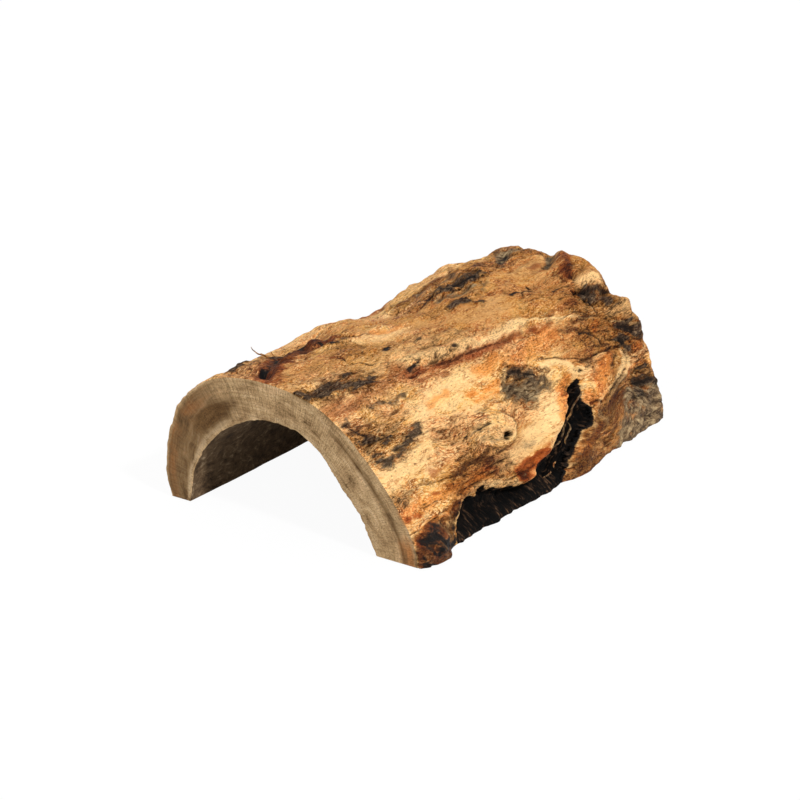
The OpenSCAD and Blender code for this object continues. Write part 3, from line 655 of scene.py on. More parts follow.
def masks():
    """The strength of each stain at each place, and the painted shade of its hollows."""
    found = {kind: strokes(lines) for kind, lines in STAINS.items()}

    def stain(kind, strength):
        found[kind] = np.maximum(found[kind], strength)

    # Cracks, the surroundings of the bark, and ridges, paler for wear and with painted highlight
    stain("brown", 0.75 * cracks * (1 - calm))
    stain("brown", strokes(widened(ALL_BARK, 1.6, 0.65)))
    stain("cream", 0.6 * worn_and_highlit)
    # Creases, black in places, dark partly of their own colour and partly with painted shade, and welts
    broken = smooth(-0.5, 0.4, lumpy(6, 5, 37, 3))
    for half_width, _, away in traced_creases:
        line = smooth(1.6 * half_width, 0.3 * half_width, away)
        # Dark along the crease: partly the wood's own dark line, partly painted shade in the valley
        stain("black", 0.75 * broken * line)
        stain("brown", 0.9 * line)
    for half_width, _, away in traced_welts:
        stain("cream", 1.4 * smooth(1.5 * half_width, 0.5 * half_width, away))
    # The seam and its burnt edge, and the beetle hole, painted black inside as shade
    stain("black", CHARRED * char)
    stain("brown", 0.35 * smooth(-4.0, 0.0, seam_edge + 2.0 * lumpy(7, 5, 38, 3)))
    # Painted shade: the inside of the beetle hole painted black
    stain("black", smooth(1.25, 0.85, hole_reach))
    # The knot's face, its rim, and painted shade in the groove round it
    for kind in ("orange", "red", "brown", "tan"):
        found[kind] = found[kind] * (1 - knot_face)
    stain("cream", 0.6 * knot_face)
    stain("cream", ridge(knot_edge - 0.9, 1.2) * smooth(80, 91, Y))
    stain("grey", 0.45 * knot_face * smooth(82, 72, Y) * smooth(58, 64, Y))
    # Painted shade: a brown line in the groove outside the rim's right end
    stain("brown", 0.3 * ridge(knot_edge + 1.3, 0.8) * smooth(86, 93, Y))
    # The painted shade of the hollows
    found["hollow_shade"] = hollow_shade
    return found


def speckled():
    """How thick the dark flecks lie, from 0 to 1, and less than nothing where the wood is calm."""
    patches = strokes(SPECKLED + widened(ALL_BARK, 1.9, 0.9), 0.8)
    thick = np.maximum(patches, smooth(0.0, 0.5, lumpy(26, 16, 36, 3)))
    return np.where(calm > 0, thick * (1 - calm) - calm, thick)


wood_stains = masks()
flecks = speckled()


# Meshes

def on_log(y, a, radius):
    """Places in the frame, in metres, of points on the log: one row for each."""
    angle = np.radians(a)
    x = AXIS_X + radius * np.cos(angle)
    z = radius * np.sin(angle)
    return np.stack([x, FRONT_Y + y, z], -1).reshape(-1, 3) * MM


def quads(ids, flip, cells=slice(None)):
    """The faces of a grid of point numbers, or of some of its cells."""
    corners = np.stack([ids[:-1, :-1], ids[1:, :-1], ids[1:, 1:], ids[:-1, 1:]], -1)
    faces = corners[cells].reshape(-1, 4)
    return (faces[:, ::-1] if flip else faces).tolist()


def triple(x, y, z):
    return np.stack([np.ravel(x), np.ravel(y), np.ravel(z)], -1)


def spread(band, rows, cols):
    """Places in a band of the bake map for a grid of points."""
    u, v = np.meshgrid(np.linspace(0.01, 0.99, rows), np.linspace(*band, cols), indexing="ij")
    return np.stack([u, v], -1).reshape(-1, 2)


def level(band, share):
    """A band without height, part of the way up another."""
    height = band[0] + (band[1] - band[0]) * share
    return height, height


def stain_columns(found, where=EVERYWHERE):
    """The colour layers that hold the stains and the painted shade of the hollows, for the places asked for.
    """
    return [np.stack([found[kind][where] for kind in kinds], -1) for kinds in STAIN_LAYERS.values()]


class Points:
    """Vertices with what each one carries for the materials."""

    def __init__(self):
        self.columns = {name: [] for name in ("places", "grain", "section", "bake", *STAIN_LAYERS)}
        self.count = 0

    def add(self, places, grain, section, bake, warm=None, dark=None):
        number = len(places)
        stains = [np.zeros((number, 4)) if layer is None else layer for layer in (warm, dark)]
        for column, values in zip(self.columns.values(), (places, grain, section, bake, *stains)):
            column.append(values)
        self.count += number
        return np.arange(self.count - number, self.count)

    def all(self, name):
        return np.concatenate(self.columns[name])


def whole_numbers(items, name):
    values = np.zeros(len(items), np.int32)
    items.foreach_get(name, values)
    return values


def sharpen_between_materials(mesh):
    corner_edges = whole_numbers(mesh.loops, "edge_index")
    kinds = whole_numbers(mesh.polygons, "material_index")
    corner_kinds = np.repeat(kinds, whole_numbers(mesh.polygons, "loop_total"))
    low = np.full(len(mesh.edges), kinds.max() + 1)
    high = np.full(len(mesh.edges), -1)
    np.minimum.at(low, corner_edges, corner_kinds)
    np.maximum.at(high, corner_edges, corner_kinds)
    layer = mesh.attributes.new("sharp_edge", "BOOLEAN", "EDGE")
    layer.data.foreach_set("value", low != high)


def closed_mesh(name, points, groups):
    """A mesh of groups of faces, (material number, faces), with all that its points carry."""
    mesh = bpy.data.meshes.new(name)
    mesh.from_pydata(points.all("places").tolist(), [], [face for _, group in groups for face in group])
    kinds = np.concatenate([np.full(len(group), kind) for kind, group in groups])
    mesh.polygons.foreach_set("material_index", kinds.astype(np.int32))
    corners = points.all("bake")[whole_numbers(mesh.loops, "vertex_index")]
    mesh.uv_layers.new(name="OFBake").data.foreach_set("uv", corners.astype(np.float32).ravel())
    for layer in ("grain", "section", *STAIN_LAYERS):
        kind, field = ("FLOAT_COLOR", "color") if layer in STAIN_LAYERS else ("FLOAT_VECTOR", "vector")
        data = mesh.attributes.new(layer, kind, "POINT").data
        data.foreach_set(field, points.all(layer).astype(np.float32).ravel())
    sharpen_between_materials(mesh)
    return mesh


def linked(name, data):
    made = bpy.data.objects.new(name, data)
    bpy.context.scene.collection.objects.link(made)
    return made


def show(name, mesh, node, slot, *materials):
    mesh.shade_smooth()
    for material in materials:
        mesh.materials.append(material)
    piece = linked(name, mesh)
    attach(piece, "root")
    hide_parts(node)


# The log: its outside and bore, the two cuts between them, and the two feet

bore_along = along[::BORE_STEP]
bore_y, bore_a = np.meshgrid(bore_along, around, indexing="ij")
bore_s = bore_a * MM_PER_DEGREE * BORE_SHARE
bore_radius = blurred(felt_radius(feeler("log_wall"), bore_along, around, False), 1.0, 3.0)
bore_radius += 0.5 * fractal(bore_y / 18, bore_s / 5, 51) + 0.25 * fractal(bore_y / 6, bore_s / 1.8, 52)


def add_outside(points):
    section = triple(flecks, S, wood_stains["ash"])
    bake = spread(OUTSIDE_BAND, *Y.shape)
    ids = points.add(on_log(Y, A, R), triple(U, V, S), section, bake, *stain_columns(wood_stains))
    return ids.reshape(Y.shape)


def add_bore(points):
    wall = R[::BORE_STEP] - bore_radius
    section = triple(wall, bore_a * MM_PER_DEGREE, 1 + 0 * wall)
    places = on_log(bore_y, bore_a, bore_radius)
    ids = points.add(places, triple(bore_y, bore_s, 0 * bore_y), section, spread(BORE_BAND, *bore_y.shape))
    return ids.reshape(bore_y.shape)


def cut_stains(share):
    """Pale by the bore, orange by the right foot, streaked at the top, and brown on the left leg."""
    left = smooth(112, 140, around)
    rim = smooth(0.78, 0.92, share)
    browns = [
        0.65 * left * (1 - rim),
        1.5 * ridge(share - 0.62, 0.22) * ridge(around - 134, 15),
        0.7 * ridge(share - 0.62, 0.07) * smooth(146, 156, around),
        0.8 * ridge(share - 0.28, 0.06) * smooth(80, 55, around),
        0.8 * smooth(0.12, 0.02, share) * smooth(70, 95, around),
    ]
    foot_corner = smooth(16, 4, around) * smooth(0.5, 0.15, share)
    orange = np.maximum(0.9 * foot_corner, 0.4 * left * smooth(0.62, 0.3, share))
    pale = rim * np.maximum(0.9 * left, 0.5)
    streaked = smooth(40, 70, around) * smooth(140, 118, around)
    return np.stack([pale, orange, streaked, np.max(browns, 0)], -1)


def add_cut(points, row, outer, bore, band):
    """Point numbers across one sawn end, from the outside in."""
    inwards = 1 if row == 0 else -1
    ids = [outer[row]]
    for share in np.arange(1, CUT_STEPS) / CUT_STEPS:
        radius = R[row] + (bore_radius[row] - R[row]) * share
        saw = SAW_DEPTH * noise(around * 0.9, radius / 30, 53)
        places = on_log(along[row] + inwards * saw, around, radius)
        section = triple(R[row] - radius, S[row], 0 * around + share)
        bake = spread(level(band, share), COLS + 1, 1)
        ids.append(points.add(places, triple(radius, S[row], 0 * around), section, bake, cut_stains(share)))
    return np.array(ids + [bore[row]])


def add_foot(points, col, outer, front, back, band):
    """Point numbers across one foot, from the outside in, without the bore's edge."""
    ids = np.zeros((CUT_STEPS, ROWS + 1), int)
    ids[0] = outer[:, col]
    ids[:, 0], ids[:, -1] = front[:-1, col], back[:-1, col]
    y = along[1:-1]
    outer_r = R[1:-1, col]
    inner_r = np.interp(y, bore_along, bore_radius[:, col])
    for k in range(1, CUT_STEPS):
        share = k / CUT_STEPS
        radius = outer_r + (inner_r - outer_r) * share
        grain = triple(y, outer_r - radius, 0 * y)
        bake = spread(level(band, share), ROWS - 1, 1)
        ids[k, 1:-1] = points.add(on_log(y, around[col], radius), grain, triple(radius, y, 0 * y), bake)
    return ids


def stitch(line, bore_line, flip):
    """Triangles from a foot's last line to the fewer points of the bore's edge."""
    faces = []
    for b in range(len(bore_line) - 1):
        start = b * BORE_STEP
        middle = start + BORE_STEP // 2
        for i in range(start, start + BORE_STEP):
            faces.append([line[i], line[i + 1], bore_line[b if i < middle else b + 1]])
        faces.append([line[middle], bore_line[b + 1], bore_line[b]])
    return [f[::-1] for f in faces] if flip else faces


def log_mesh():
    points = Points()
    outer = add_outside(points)
    bore = add_bore(points)
    front = add_cut(points, 0, outer, bore, FRONT_BAND)
    back = add_cut(points, -1, outer, bore, BACK_BAND)
    right = add_foot(points, 0, outer, front, back, RIGHT_BAND)
    left = add_foot(points, -1, outer, front, back, LEFT_BAND)
    return closed_mesh("log", points, [
        (0, quads(outer, True)),
        (1, quads(front, False) + quads(back, True)),
        (2, quads(bore, False)),
        (3, quads(right, True) + stitch(right[-1].tolist(), bore[:, 0].tolist(), True)),
        (3, quads(left, False) + stitch(left[-1].tolist(), bore[:, -1].tolist(), False)),
    ])


# Pieces that lie on the log

def lens_mesh(name, thickness, found, fibre=(U, V)):
    """A closed piece: a sunk underside and a raised top, which meet where it thins to nothing."""
    live = thickness > THINNEST
    thickness = np.where(live, thickness, 0)
    cells = live[:-1, :-1] | live[1:, :-1] | live[1:, 1:] | live[:-1, 1:]
    used = np.zeros(live.shape, bool)
    for rows in (slice(None, -1), slice(1, None)):
        for cols in (slice(None, -1), slice(1, None)):
            used[rows, cols] |= cells
    bake = spread(LENS_BAND, *Y.shape).reshape(*Y.shape, 2)
    points = Points()

    def numbered(ids, where, radius, shift):
        places = on_log(Y[where], A[where], radius[where])
        grain = triple(fibre[0][where], fibre[1][where], S[where])
        section = triple(flecks[where], S[where], wood_stains["ash"][where])
        stains = stain_columns(found, where)
        ids[where] = points.add(places, grain, section, bake[where] + (0, shift), *stains)
        return ids

    top = numbered(np.zeros(Y.shape, int), used, R + thickness, 0)
    under = numbered(top.copy(), live, R - SUNK_SHARE * np.minimum(thickness, 1), UNDERSIDE_SHIFT)
    return closed_mesh(name, points, [(0, quads(top, True, cells)), (0, quads(under, False, cells))])


def overlaid(kind, mask, **others):
    """The stains of a piece: those of the wood under it, with one of them laid over."""
    return {**wood_stains, kind: np.maximum(wood_stains[kind], mask), **others}


def surface_at(y, a):
    """Radius of the log's outside, evened out, at places along a line."""
    row = np.interp(y, along, np.arange(ROWS + 1))
    col = np.interp(a, around, np.arange(COLS + 1))
    i = np.clip(row.astype(int), 0, ROWS - 1)
    j = np.clip(col.astype(int), 0, COLS - 1)
    fi, fj = row - i, col - j
    near = even_outside[i, j] * (1 - fj) + even_outside[i, j + 1] * fj
    far = even_outside[i + 1, j] * (1 - fj) + even_outside[i + 1, j + 1] * fj
    return near * (1 - fi) + far * fi


def walked(line, steps_each):
    """Shares of the way along a line of points, and its columns there."""
    knots = np.array(line, float)
    steps = np.linspace(0, len(knots) - 1, steps_each * len(knots))
    return steps / steps[-1], [np.interp(steps, range(len(knots)), column) for column in knots.T]


def unit(vectors):
    return vectors / np.linalg.norm(vectors, axis=1, keepdims=True)


def tube(ids):
    """The faces of a closed tube, from the point numbers of the lines along it."""
    ids = np.array(ids)
    ring = np.vstack([ids, ids[:1]])
    return quads(ring, True) + [ids[:, 0].tolist(), ids[::-1, -1].tolist()]


def plate(points, height, line, seed):
    """One thin plate along a line: a foot in the wood and a pale broken edge. Returns its faces."""
    share, (y, a) = walked(line, PLATE_STEPS)
    none = 0 * y
    a = a + 0.15 * noise(y / 6, none, seed)
    ends = smooth(0, 0.12, share) * smooth(1, 0.88, share)
    top = height * ends * (0.8 + 0.25 * fractal(y / 5, none, seed, 3))
    side = unit(np.stack([-np.gradient(a) * MM_PER_DEGREE, np.gradient(y)], -1))
    broken = smooth(-0.5, 0.1, fractal(y / 4, none, seed + 9, 2))
    ids = []
    for k, (lift, half, pale) in enumerate(PLATE_PROFILE):
        across = half * PLATE_THICKNESS * side
        rise = np.where(lift < 0, lift, lift * top)
        places = on_log(y + across[:, 0], a + across[:, 1] / MM_PER_DEGREE, surface_at(y, a) + rise)
        lit = pale * broken
        warm = np.stack([0.4 * lit, none, none, none], -1)
        dark = np.stack([1.2 * lit, FULL * smooth(0.8, 0.2, lit), none, none], -1)
        bake = np.stack([share, none + k / len(PLATE_PROFILE)], -1)
        ids.append(points.add(places, triple(y, rise, none), triple(none, rise, none), bake, warm, dark))
    return tube(ids)


def splinter(points, line):
    """One thin fibre that stands off the wood, along (from the front, angle, height). Returns its faces."""
    share, (y, a, height) = walked(line, SPLINTER_STEPS)
    none = 0 * y
    middle = on_log(y, a, surface_at(y, a) + height)
    heading = unit(np.gradient(middle, axis=0))
    side = unit(np.cross(heading, SPLINTER_SIDEWAYS))
    lift = np.cross(heading, side)
    radius = MM * np.linspace(SPLINTER_RADIUS, SPLINTER_TIP, len(y))[:, None]
    warm = np.stack([none, none, none + 0.6, none + 0.6], -1)
    ids = []
    for k in range(SPLINTER_SIDES):
        turn = 2 * math.pi * k / SPLINTER_SIDES
        places = middle + radius * (math.cos(turn) * side + math.sin(turn) * lift)
        bake = np.stack([share, none + k / SPLINTER_SIDES], -1)
        ids.append(points.add(places, triple(y, height, none), triple(none, height, none), bake, warm))
    return tube(ids)


# Node materials

def paint(red, green, blue):
    """A colour as seen on a screen, as the renderer takes it."""
    channels = [c / 255 for c in (red, green, blue)]
    return tuple(c / 12.92 if c <= 0.04045 else ((c + 0.055) / 1.055) ** 2.4 for c in channels) + (1.0,)


def plug(tree, socket, value):
    """Links a socket, or sets it where the value is the same all over."""
    if isinstance(value, bpy.types.NodeSocket):
        tree.links.new(value, socket)
    else:
        socket.default_value = value


def add(tree, kind, inputs, **settings):
    made = tree.nodes.new("ShaderNode" + kind)
    for name, value in settings.items():
        setattr(made, name, value)
    for name, value in inputs.items():
        plug(tree, made.inputs[name], value)
    return made


def calculated(tree, operation, *values):
    return add(tree, "Math", dict(enumerate(values)), operation=operation).outputs["Value"]


def remap(tree, value, low, high, to_low=0.0, to_high=1.0, steps="LINEAR"):
    """A number carried from one span to another and held at its ends."""
    spans = {"From Min": low, "From Max": high, "To Min": to_low, "To Max": to_high}
    return add(tree, "MapRange", {"Value": value, **spans}, interpolation_type=steps).outputs["Result"]


def between(tree, first, second, share):
    """A number part of the way from one to another."""
    return add(tree, "Mix", {0: share, 2: first, 3: second}, data_type="FLOAT").outputs[0]


def over(tree, below, above, share, blend="MIX"):
    """Colour with another laid over it."""
    inputs = {0: share, 6: below, 7: above}
    return add(tree, "Mix", inputs, data_type="RGBA", blend_type=blend, clamp_factor=True).outputs[2]


def tinted(tree, below, tint, share):
    """Colour dyed by a see-through stain, so that the grain under it still shows."""
    return over(tree, below, tint, share, "MULTIPLY")


def shaded(tree, colour, share, light):
    """Colour made darker where share is small, down to the light that is left there."""
    scale = remap(tree, share, 0.0, 1.0, light, 1.0)
    return add(tree, "VectorMath", {0: colour, "Scale": scale}, operation="SCALE").outputs["Vector"]


def edged(tree, mask, grit, most, span):
    """A stain's share, its edge broken up by grit."""
    rough = calculated(tree, "ADD", mask, remap(tree, grit, 0.25, 0.75, -0.5, 0.5))
    return remap(tree, rough, *span, 0.0, most, "SMOOTHSTEP")


def ramp(tree, value, stops):
    """Colours by number: (position, red, green, blue)."""
    made = add(tree, "ValToRGB", {"Fac": value})
    band = made.color_ramp
    while len(band.elements) < len(stops):
        band.elements.new(0.5)
    for element, (position, *colour) in zip(band.elements, stops):
        element.position = position
        element.color = paint(*colour)
    return made.outputs["Color"]


def new_material(name):
    material = bpy.data.materials.new(name)
    material.use_nodes = True
    return material, material.node_tree


def carried(tree, name):
    return add(tree, "Attribute", {}, attribute_name=name, attribute_type="GEOMETRY").outputs


def streaks(tree, vector, patterns):
    """Noise stretched along the grain, by name."""
    found = {}
    for name, (along_scale, across_scale, detail, roughness, swirl) in patterns.items():
        scales = {0: vector, 1: (along_scale, across_scale, 0.0)}
        stretched = add(tree, "VectorMath", scales, operation="MULTIPLY").outputs["Vector"]
        made = add(tree, "TexNoise", {
            "Vector": stretched, "Scale": 1.0, "Detail": detail, "Roughness": roughness, "Distortion": swirl,
        }, noise_dimensions="3D")
        found[name] = made.outputs["Fac"]
    return found


def carried_stains(tree, layers):
    """The masks of the stains, and the painted shade of the hollows, that the points carry, by name."""
    found = {}
    for layer, kinds in layers.items():
        held = carried(tree, layer)
        parts = add(tree, "SeparateColor", {"Color": held["Color"]}).outputs
        found.update(zip(kinds, (parts["Red"], parts["Green"], parts["Blue"], held["Alpha"])))
    return found


def finish_surface(tree, colour, height, roughness, specular, bump, depth):
    normal = add(tree, "Bump", {"Height": height, "Strength": bump, "Distance": depth * MM}).outputs["Normal"]
    looks = {"Base Color": colour, "Normal": normal, "Roughness": roughness, "Specular IOR Level": specular}
    for name, value in looks.items():
        plug(tree, tree.nodes["Principled BSDF"].inputs[name], value)


# Patterns: waves for each millimetre along and across the grain, detail, roughness and swirl
WOOD_PATTERNS = {
    "broad": (0.03, 0.06, 3.0, 0.55, 0.8),
    "mottle": (0.10, 0.24, 8.0, 0.72, 0.9),
    "thread": (0.12, 0.6, 5.0, 0.7, 0.5),
    "speck": (0.32, 0.62, 5.0, 0.68, 0.9),
    "fine": (0.6, 1.3, 3.0, 0.65, 0.5),
    "vein": (0.06, 0.24, 5.0, 0.62, 1.6),
    "crackle": (0.16, 0.42, 4.0, 0.7, 1.2),
}
CUT_PATTERNS = {
    "rings": (0.9, 0.05, 4.0, 0.65, 0.3),
    "broad": (0.16, 0.07, 5.0, 0.66, 0.4),
    "marks": (0.08, 1.6, 5.0, 0.7, 0.3),
    "grit": (1.3, 1.1, 5.0, 0.78, 0.0),
}
BORE_PATTERNS = {
    "fibre": (0.24, 0.42, 7.0, 0.7, 0.8),
    "blotch": (0.09, 0.12, 6.0, 0.7, 0.6),
    "grit": (0.5, 1.1, 3.0, 0.7, 0.5),
}

# Colours of the bare wood and of the crusts on it: (position, red, green, blue)
HONEY = [(0.34, 136, 78, 34), (0.42, 202, 134, 64), (0.50, 232, 170, 90), (0.60, 248, 202, 130)]
PEACH = [(0.34, 128, 68, 34), (0.42, 202, 124, 68), (0.50, 234, 166, 102), (0.60, 250, 202, 142)]
SKIN = [(0.36, 168, 118, 72), (0.45, 206, 158, 102), (0.52, 222, 178, 122), (0.60, 236, 198, 146)]
SLATE = [
    (0.42, 20, 15, 12), (0.49, 48, 38, 31), (0.55, 80, 66, 53), (0.60, 118, 98, 76), (0.67, 172, 138, 98),
]
COAL = [(0.44, 2, 2, 2), (0.51, 9, 7, 6), (0.555, 34, 25, 19), (0.62, 100, 74, 54)]
ASH = [(0.41, 44, 34, 25), (0.47, 88, 68, 48), (0.53, 132, 108, 78), (0.60, 172, 148, 110)]
SAWN = [(0.35, 118, 92, 62), (0.44, 166, 134, 95), (0.53, 192, 160, 117), (0.64, 220, 191, 149)]
BORE = [(0.38, 46, 34, 24), (0.47, 84, 66, 48), (0.54, 104, 84, 62), (0.62, 150, 130, 104)]
CREAM = paint(250, 208, 146)
PALE_CUT = paint(192, 166, 130)

# Stains that dye the wood, as shares of its red, green and blue
TINTS = {
    "tan": (0.63, 0.50, 0.35, 1),
    "orange": (0.92, 0.60, 0.36, 1),
    "red": (0.46, 0.25, 0.19, 1),
    "brown": (0.20, 0.15, 0.12, 1),
    "flecks": (0.62, 0.50, 0.40, 1),
}
CUT_TINTS = {
    "orange": (0.98, 0.62, 0.40, 1),
    "brown": (0.30, 0.24, 0.18, 1),
    "streaked": (0.80, 0.78, 0.75, 1),
}

# Stains in the order in which they are laid: name, pattern that breaks the edge, most, and the edge's span
DYES = [
    ("tan", "mottle", 0.9, (0.0, 1.0)),
    ("cream", "mottle", 0.75, (0.1, 1.1)),
    ("orange", "mottle", 0.95, (0.05, 1.0)),
    ("red", "mottle", 0.95, (0.05, 1.05)),
    ("brown", "speck", 0.95, (0.15, 1.0)),
    ("flecks", "mottle", 0.9, (0.2, 1.2)),
]
# Crusts that hide the wood: name, colours, pattern of the colours, and the edge as above
CRUSTS = [
    ("ash", ASH, "clinker", "mottle", 1.0, (0.2, 0.9)),
    ("grey", SLATE, "scale", "mottle", 0.92, (0.25, 1.1)),
    ("black", COAL, "clinker", "speck", 1.0, (0.2, 0.95)),
]
# Dark flecks: pattern, its level where there are few and where they lie thick, and the light that is left
FLECKS = [("speck", 0.28, 0.41, 0.30), ("fine", 0.34, 0.43, 0.36)]
FLECK_EDGE = 0.05
# Thin dark lines along the middle of a pattern: pattern, half width, and the light that is left
THREADS = [("thread", 0.016, 0.56), ("vein", 0.022, 0.42), ("crackle", 0.012, 0.40)]
CALM_FADING = 0.6
# Light that the painted shade leaves in the deepest hollows
HOLLOW_LIGHT = 0.4

# Depths of the bump in millimetres
WOOD_BUMP, CUT_BUMP, BORE_BUMP = 2.5, 0.9, 0.8


def bare_wood(tree, pattern, calm_share):
    """Honey and peach wood, with even skin where it is calm, and glints of cream."""
    honey, peach, skin = (ramp(tree, pattern["mottle"], stops) for stops in (HONEY, PEACH, SKIN))
    colour = over(tree, honey, peach, remap(tree, pattern["broad"], 0.42, 0.58))
    colour = over(tree, colour, skin, edged(tree, calm_share, pattern["broad"], 0.8, (0.1, 1.0)))
    return over(tree, colour, CREAM, remap(tree, pattern["fine"], 0.515, 0.575, 0.0, 0.95))


def dyed(tree, colour, stains, pattern):
    for kind, edge, most, span in DYES:
        share = edged(tree, stains[kind], pattern[edge], most, span)
        if kind in TINTS:
            colour = tinted(tree, colour, TINTS[kind], share)
        else:
            colour = over(tree, colour, CREAM, share)
    return colour


def flecked(tree, colour, thickness, pattern):
    for kind, few, thick, light in FLECKS:
        limit = remap(tree, thickness, 0.0, 1.0, few, thick)
        above = calculated(tree, "SUBTRACT", pattern[kind], limit)
        colour = shaded(tree, colour, remap(tree, above, 0.0, FLECK_EDGE), light)
    return colour


def threaded(tree, colour, calm_share, pattern):
    for kind, half_width, light in THREADS:
        away = calculated(tree, "ABSOLUTE", calculated(tree, "SUBTRACT", pattern[kind], 0.5))
        clear = remap(tree, away, 0.0, half_width)
        clear = calculated(tree, "MULTIPLY_ADD", CALM_FADING, calm_share, clear)
        colour = shaded(tree, colour, clear, light)
    return colour


def crusted(tree, colour, stains, pattern):
    for kind, stops, tones, edge, most, span in CRUSTS:
        crust = ramp(tree, pattern[tones], stops)
        colour = over(tree, colour, crust, edged(tree, stains[kind], pattern[edge], most, span))
    return colour


def weathered(name, bump, roughness, specular):
    """Barkless wood: pale and even in places, flecked with dark in others, stained along its grain, and with
    painted shade in its hollows.
    """
    material, tree = new_material(name)
    pattern = streaks(tree, carried(tree, "grain")["Vector"], WOOD_PATTERNS)
    mottle, speck, fine = pattern["mottle"], pattern["speck"], pattern["fine"]
    pattern["scale"] = between(tree, speck, fine, 0.3)
    pattern["clinker"] = between(tree, mottle, speck, 0.5)
    section = add(tree, "SeparateXYZ", {"Vector": carried(tree, "section")["Vector"]}).outputs
    stains = {**carried_stains(tree, STAIN_LAYERS), "flecks": section["X"], "ash": section["Z"]}
    calm_share = remap(tree, stains["flecks"], -1.0, 0.0, 1.0, 0.0)
    colour = bare_wood(tree, pattern, calm_share)
    colour = dyed(tree, colour, stains, pattern)
    colour = flecked(tree, colour, stains["flecks"], pattern)
    colour = threaded(tree, colour, calm_share, pattern)
    colour = crusted(tree, colour, stains, pattern)
    # Painted shade: darker in the hollows and creases of the relief
    colour = shaded(tree, colour, calculated(tree, "SUBTRACT", 1.0, stains["hollow_shade"]), HOLLOW_LIGHT)
    height = between(tree, between(tree, mottle, speck, 0.6), fine, 0.25)
    dullness = remap(tree, mottle, 0.3, 0.7, *roughness)
    finish_surface(tree, colour, height, dullness, specular, bump, depth=WOOD_BUMP)
    return material


def sawn(name):
    """A grey sawn end: faint growth rings that follow the outline, stains, and marks of the saw."""
    material, tree = new_material(name)
    pattern = streaks(tree, carried(tree, "section")["Vector"], CUT_PATTERNS)
    stains = carried_stains(tree, CUT_LAYERS)

    def dye(colour, kind, edge):
        share = edged(tree, stains[kind], pattern[edge], 1.0, (0.0, 1.0))
        return tinted(tree, colour, CUT_TINTS[kind], share)

    colour = ramp(tree, between(tree, pattern["rings"], pattern["broad"], 0.65), SAWN)
    colour = over(tree, colour, PALE_CUT, edged(tree, stains["pale"], pattern["broad"], 0.8, (0.1, 1.0)))
    colour = dye(dye(colour, "orange", "broad"), "brown", "grit")
    scored = remap(tree, pattern["marks"], 0.40, 0.54, 1.0, 0.0)
    colour = over(tree, colour, dye(colour, "streaked", "grit"), scored)
    for kind, low, high, light in (("marks", 0.38, 0.54, 0.76), ("grit", 0.39, 0.54, 0.45)):
        colour = shaded(tree, colour, remap(tree, pattern[kind], low, high), light)
    finish_surface(tree, colour, pattern["grit"], roughness=0.75, specular=0.06, bump=0.4, depth=CUT_BUMP)
    return material


def hollowed(name):
    """The dark inside, streaked along the log."""
    material, tree = new_material(name)
    pattern = streaks(tree, carried(tree, "grain")["Vector"], BORE_PATTERNS)
    colour = ramp(tree, between(tree, pattern["fibre"], pattern["blotch"], 0.5), BORE)
    colour = shaded(tree, colour, remap(tree, pattern["grit"], 0.3, 0.5), 0.75)
    finish_surface(tree, colour, pattern["fibre"], roughness=0.8, specular=0.04, bump=0.5, depth=BORE_BUMP)
    return material


# The pieces

outside = weathered("weathered_wood", bump=0.9, roughness=(0.5, 0.75), specular=0.08)
inner = hollowed("hollow_wood")
sawn_end = sawn("sawn_wood")
bark_skin = weathered("bark_skin", bump=1.0, roughness=(0.6, 0.85), specular=0.05)
pale_knot = weathered("pale_knot", bump=0.8, roughness=(0.5, 0.75), specular=0.08)
dark_knot = weathered("dark_knot", bump=1.0, roughness=(0.4, 0.65), specular=0.1)
black_bark = weathered("black_bark", bump=1.0, roughness=(0.6, 0.85), specular=0.05)


def add_log():
    show("log", log_mesh(), "log_wall", "sapwood", outside, sawn_end, inner, inner)


def add_bark():
    rough = 0.5 + 0.5 * fibrous(9, 2.4, 61, 3)
    for name, fragments in BARK.items():
        cover = strokes(widened(fragments, 1.25), 0.7)
        thickness = BARK_HEIGHT * smooth(0.25, 0.9, cover) * (0.55 + 0.7 * rough)
        mesh = lens_mesh(name, thickness, overlaid("grey", smooth(0.2, 0.9, cover)))
        show(name + "_flakes", mesh, name, "grey_bark", bark_skin)


def add_seam():
    hanging = lumpy(3.4, 14, 62, 3) * smooth(0, 5, A)
    rough = 0.5 + 0.5 * hanging + 0.4 * lumpy(6, 5, 66, 3)
    thickness = SEAM_FILL * smooth(0.8, 3.4, seam_edge) * np.maximum(0.2 + 1.6 * rough, 0.1)
    mesh = lens_mesh("seam", thickness, overlaid("black", CHARRED * char), (S, Y))
    show("seam_fill", mesh, "seam_bark", "black_bark", black_bark)


def add_plates():
    points = Points()
    faces = [face for k, (height, line) in enumerate(PLATES) for face in plate(points, height, line, 71 + k)]
    show("seam_plates", closed_mesh("plates", points, [(0, faces)]), "seam_bark", "black_bark", black_bark)


def add_splinters():
    points = Points()
    faces = [face for line in SPLINTERS for face in splinter(points, line)]
    show("splinters", closed_mesh("splinters", points, [(0, faces)]), "log_wall", "sapwood", outside)


def add_side_knot():
    dome = smooth(0.0, 5.0, knot_edge) * smooth(0.9, 1.25, hole_reach) * smooth(56, 66, Y)
    wrinkles = 0.5 * np.abs(fibrous(12, 2.0, 63, 3)) + 0.3 * lumpy(2.5, 2.0, 65, 2)
    mesh = lens_mesh("knot", dome * np.maximum(0.25 + wrinkles, 0.1), wood_stains)
    show("knot_face", mesh, "side_knot", "pale_knot", pale_knot)


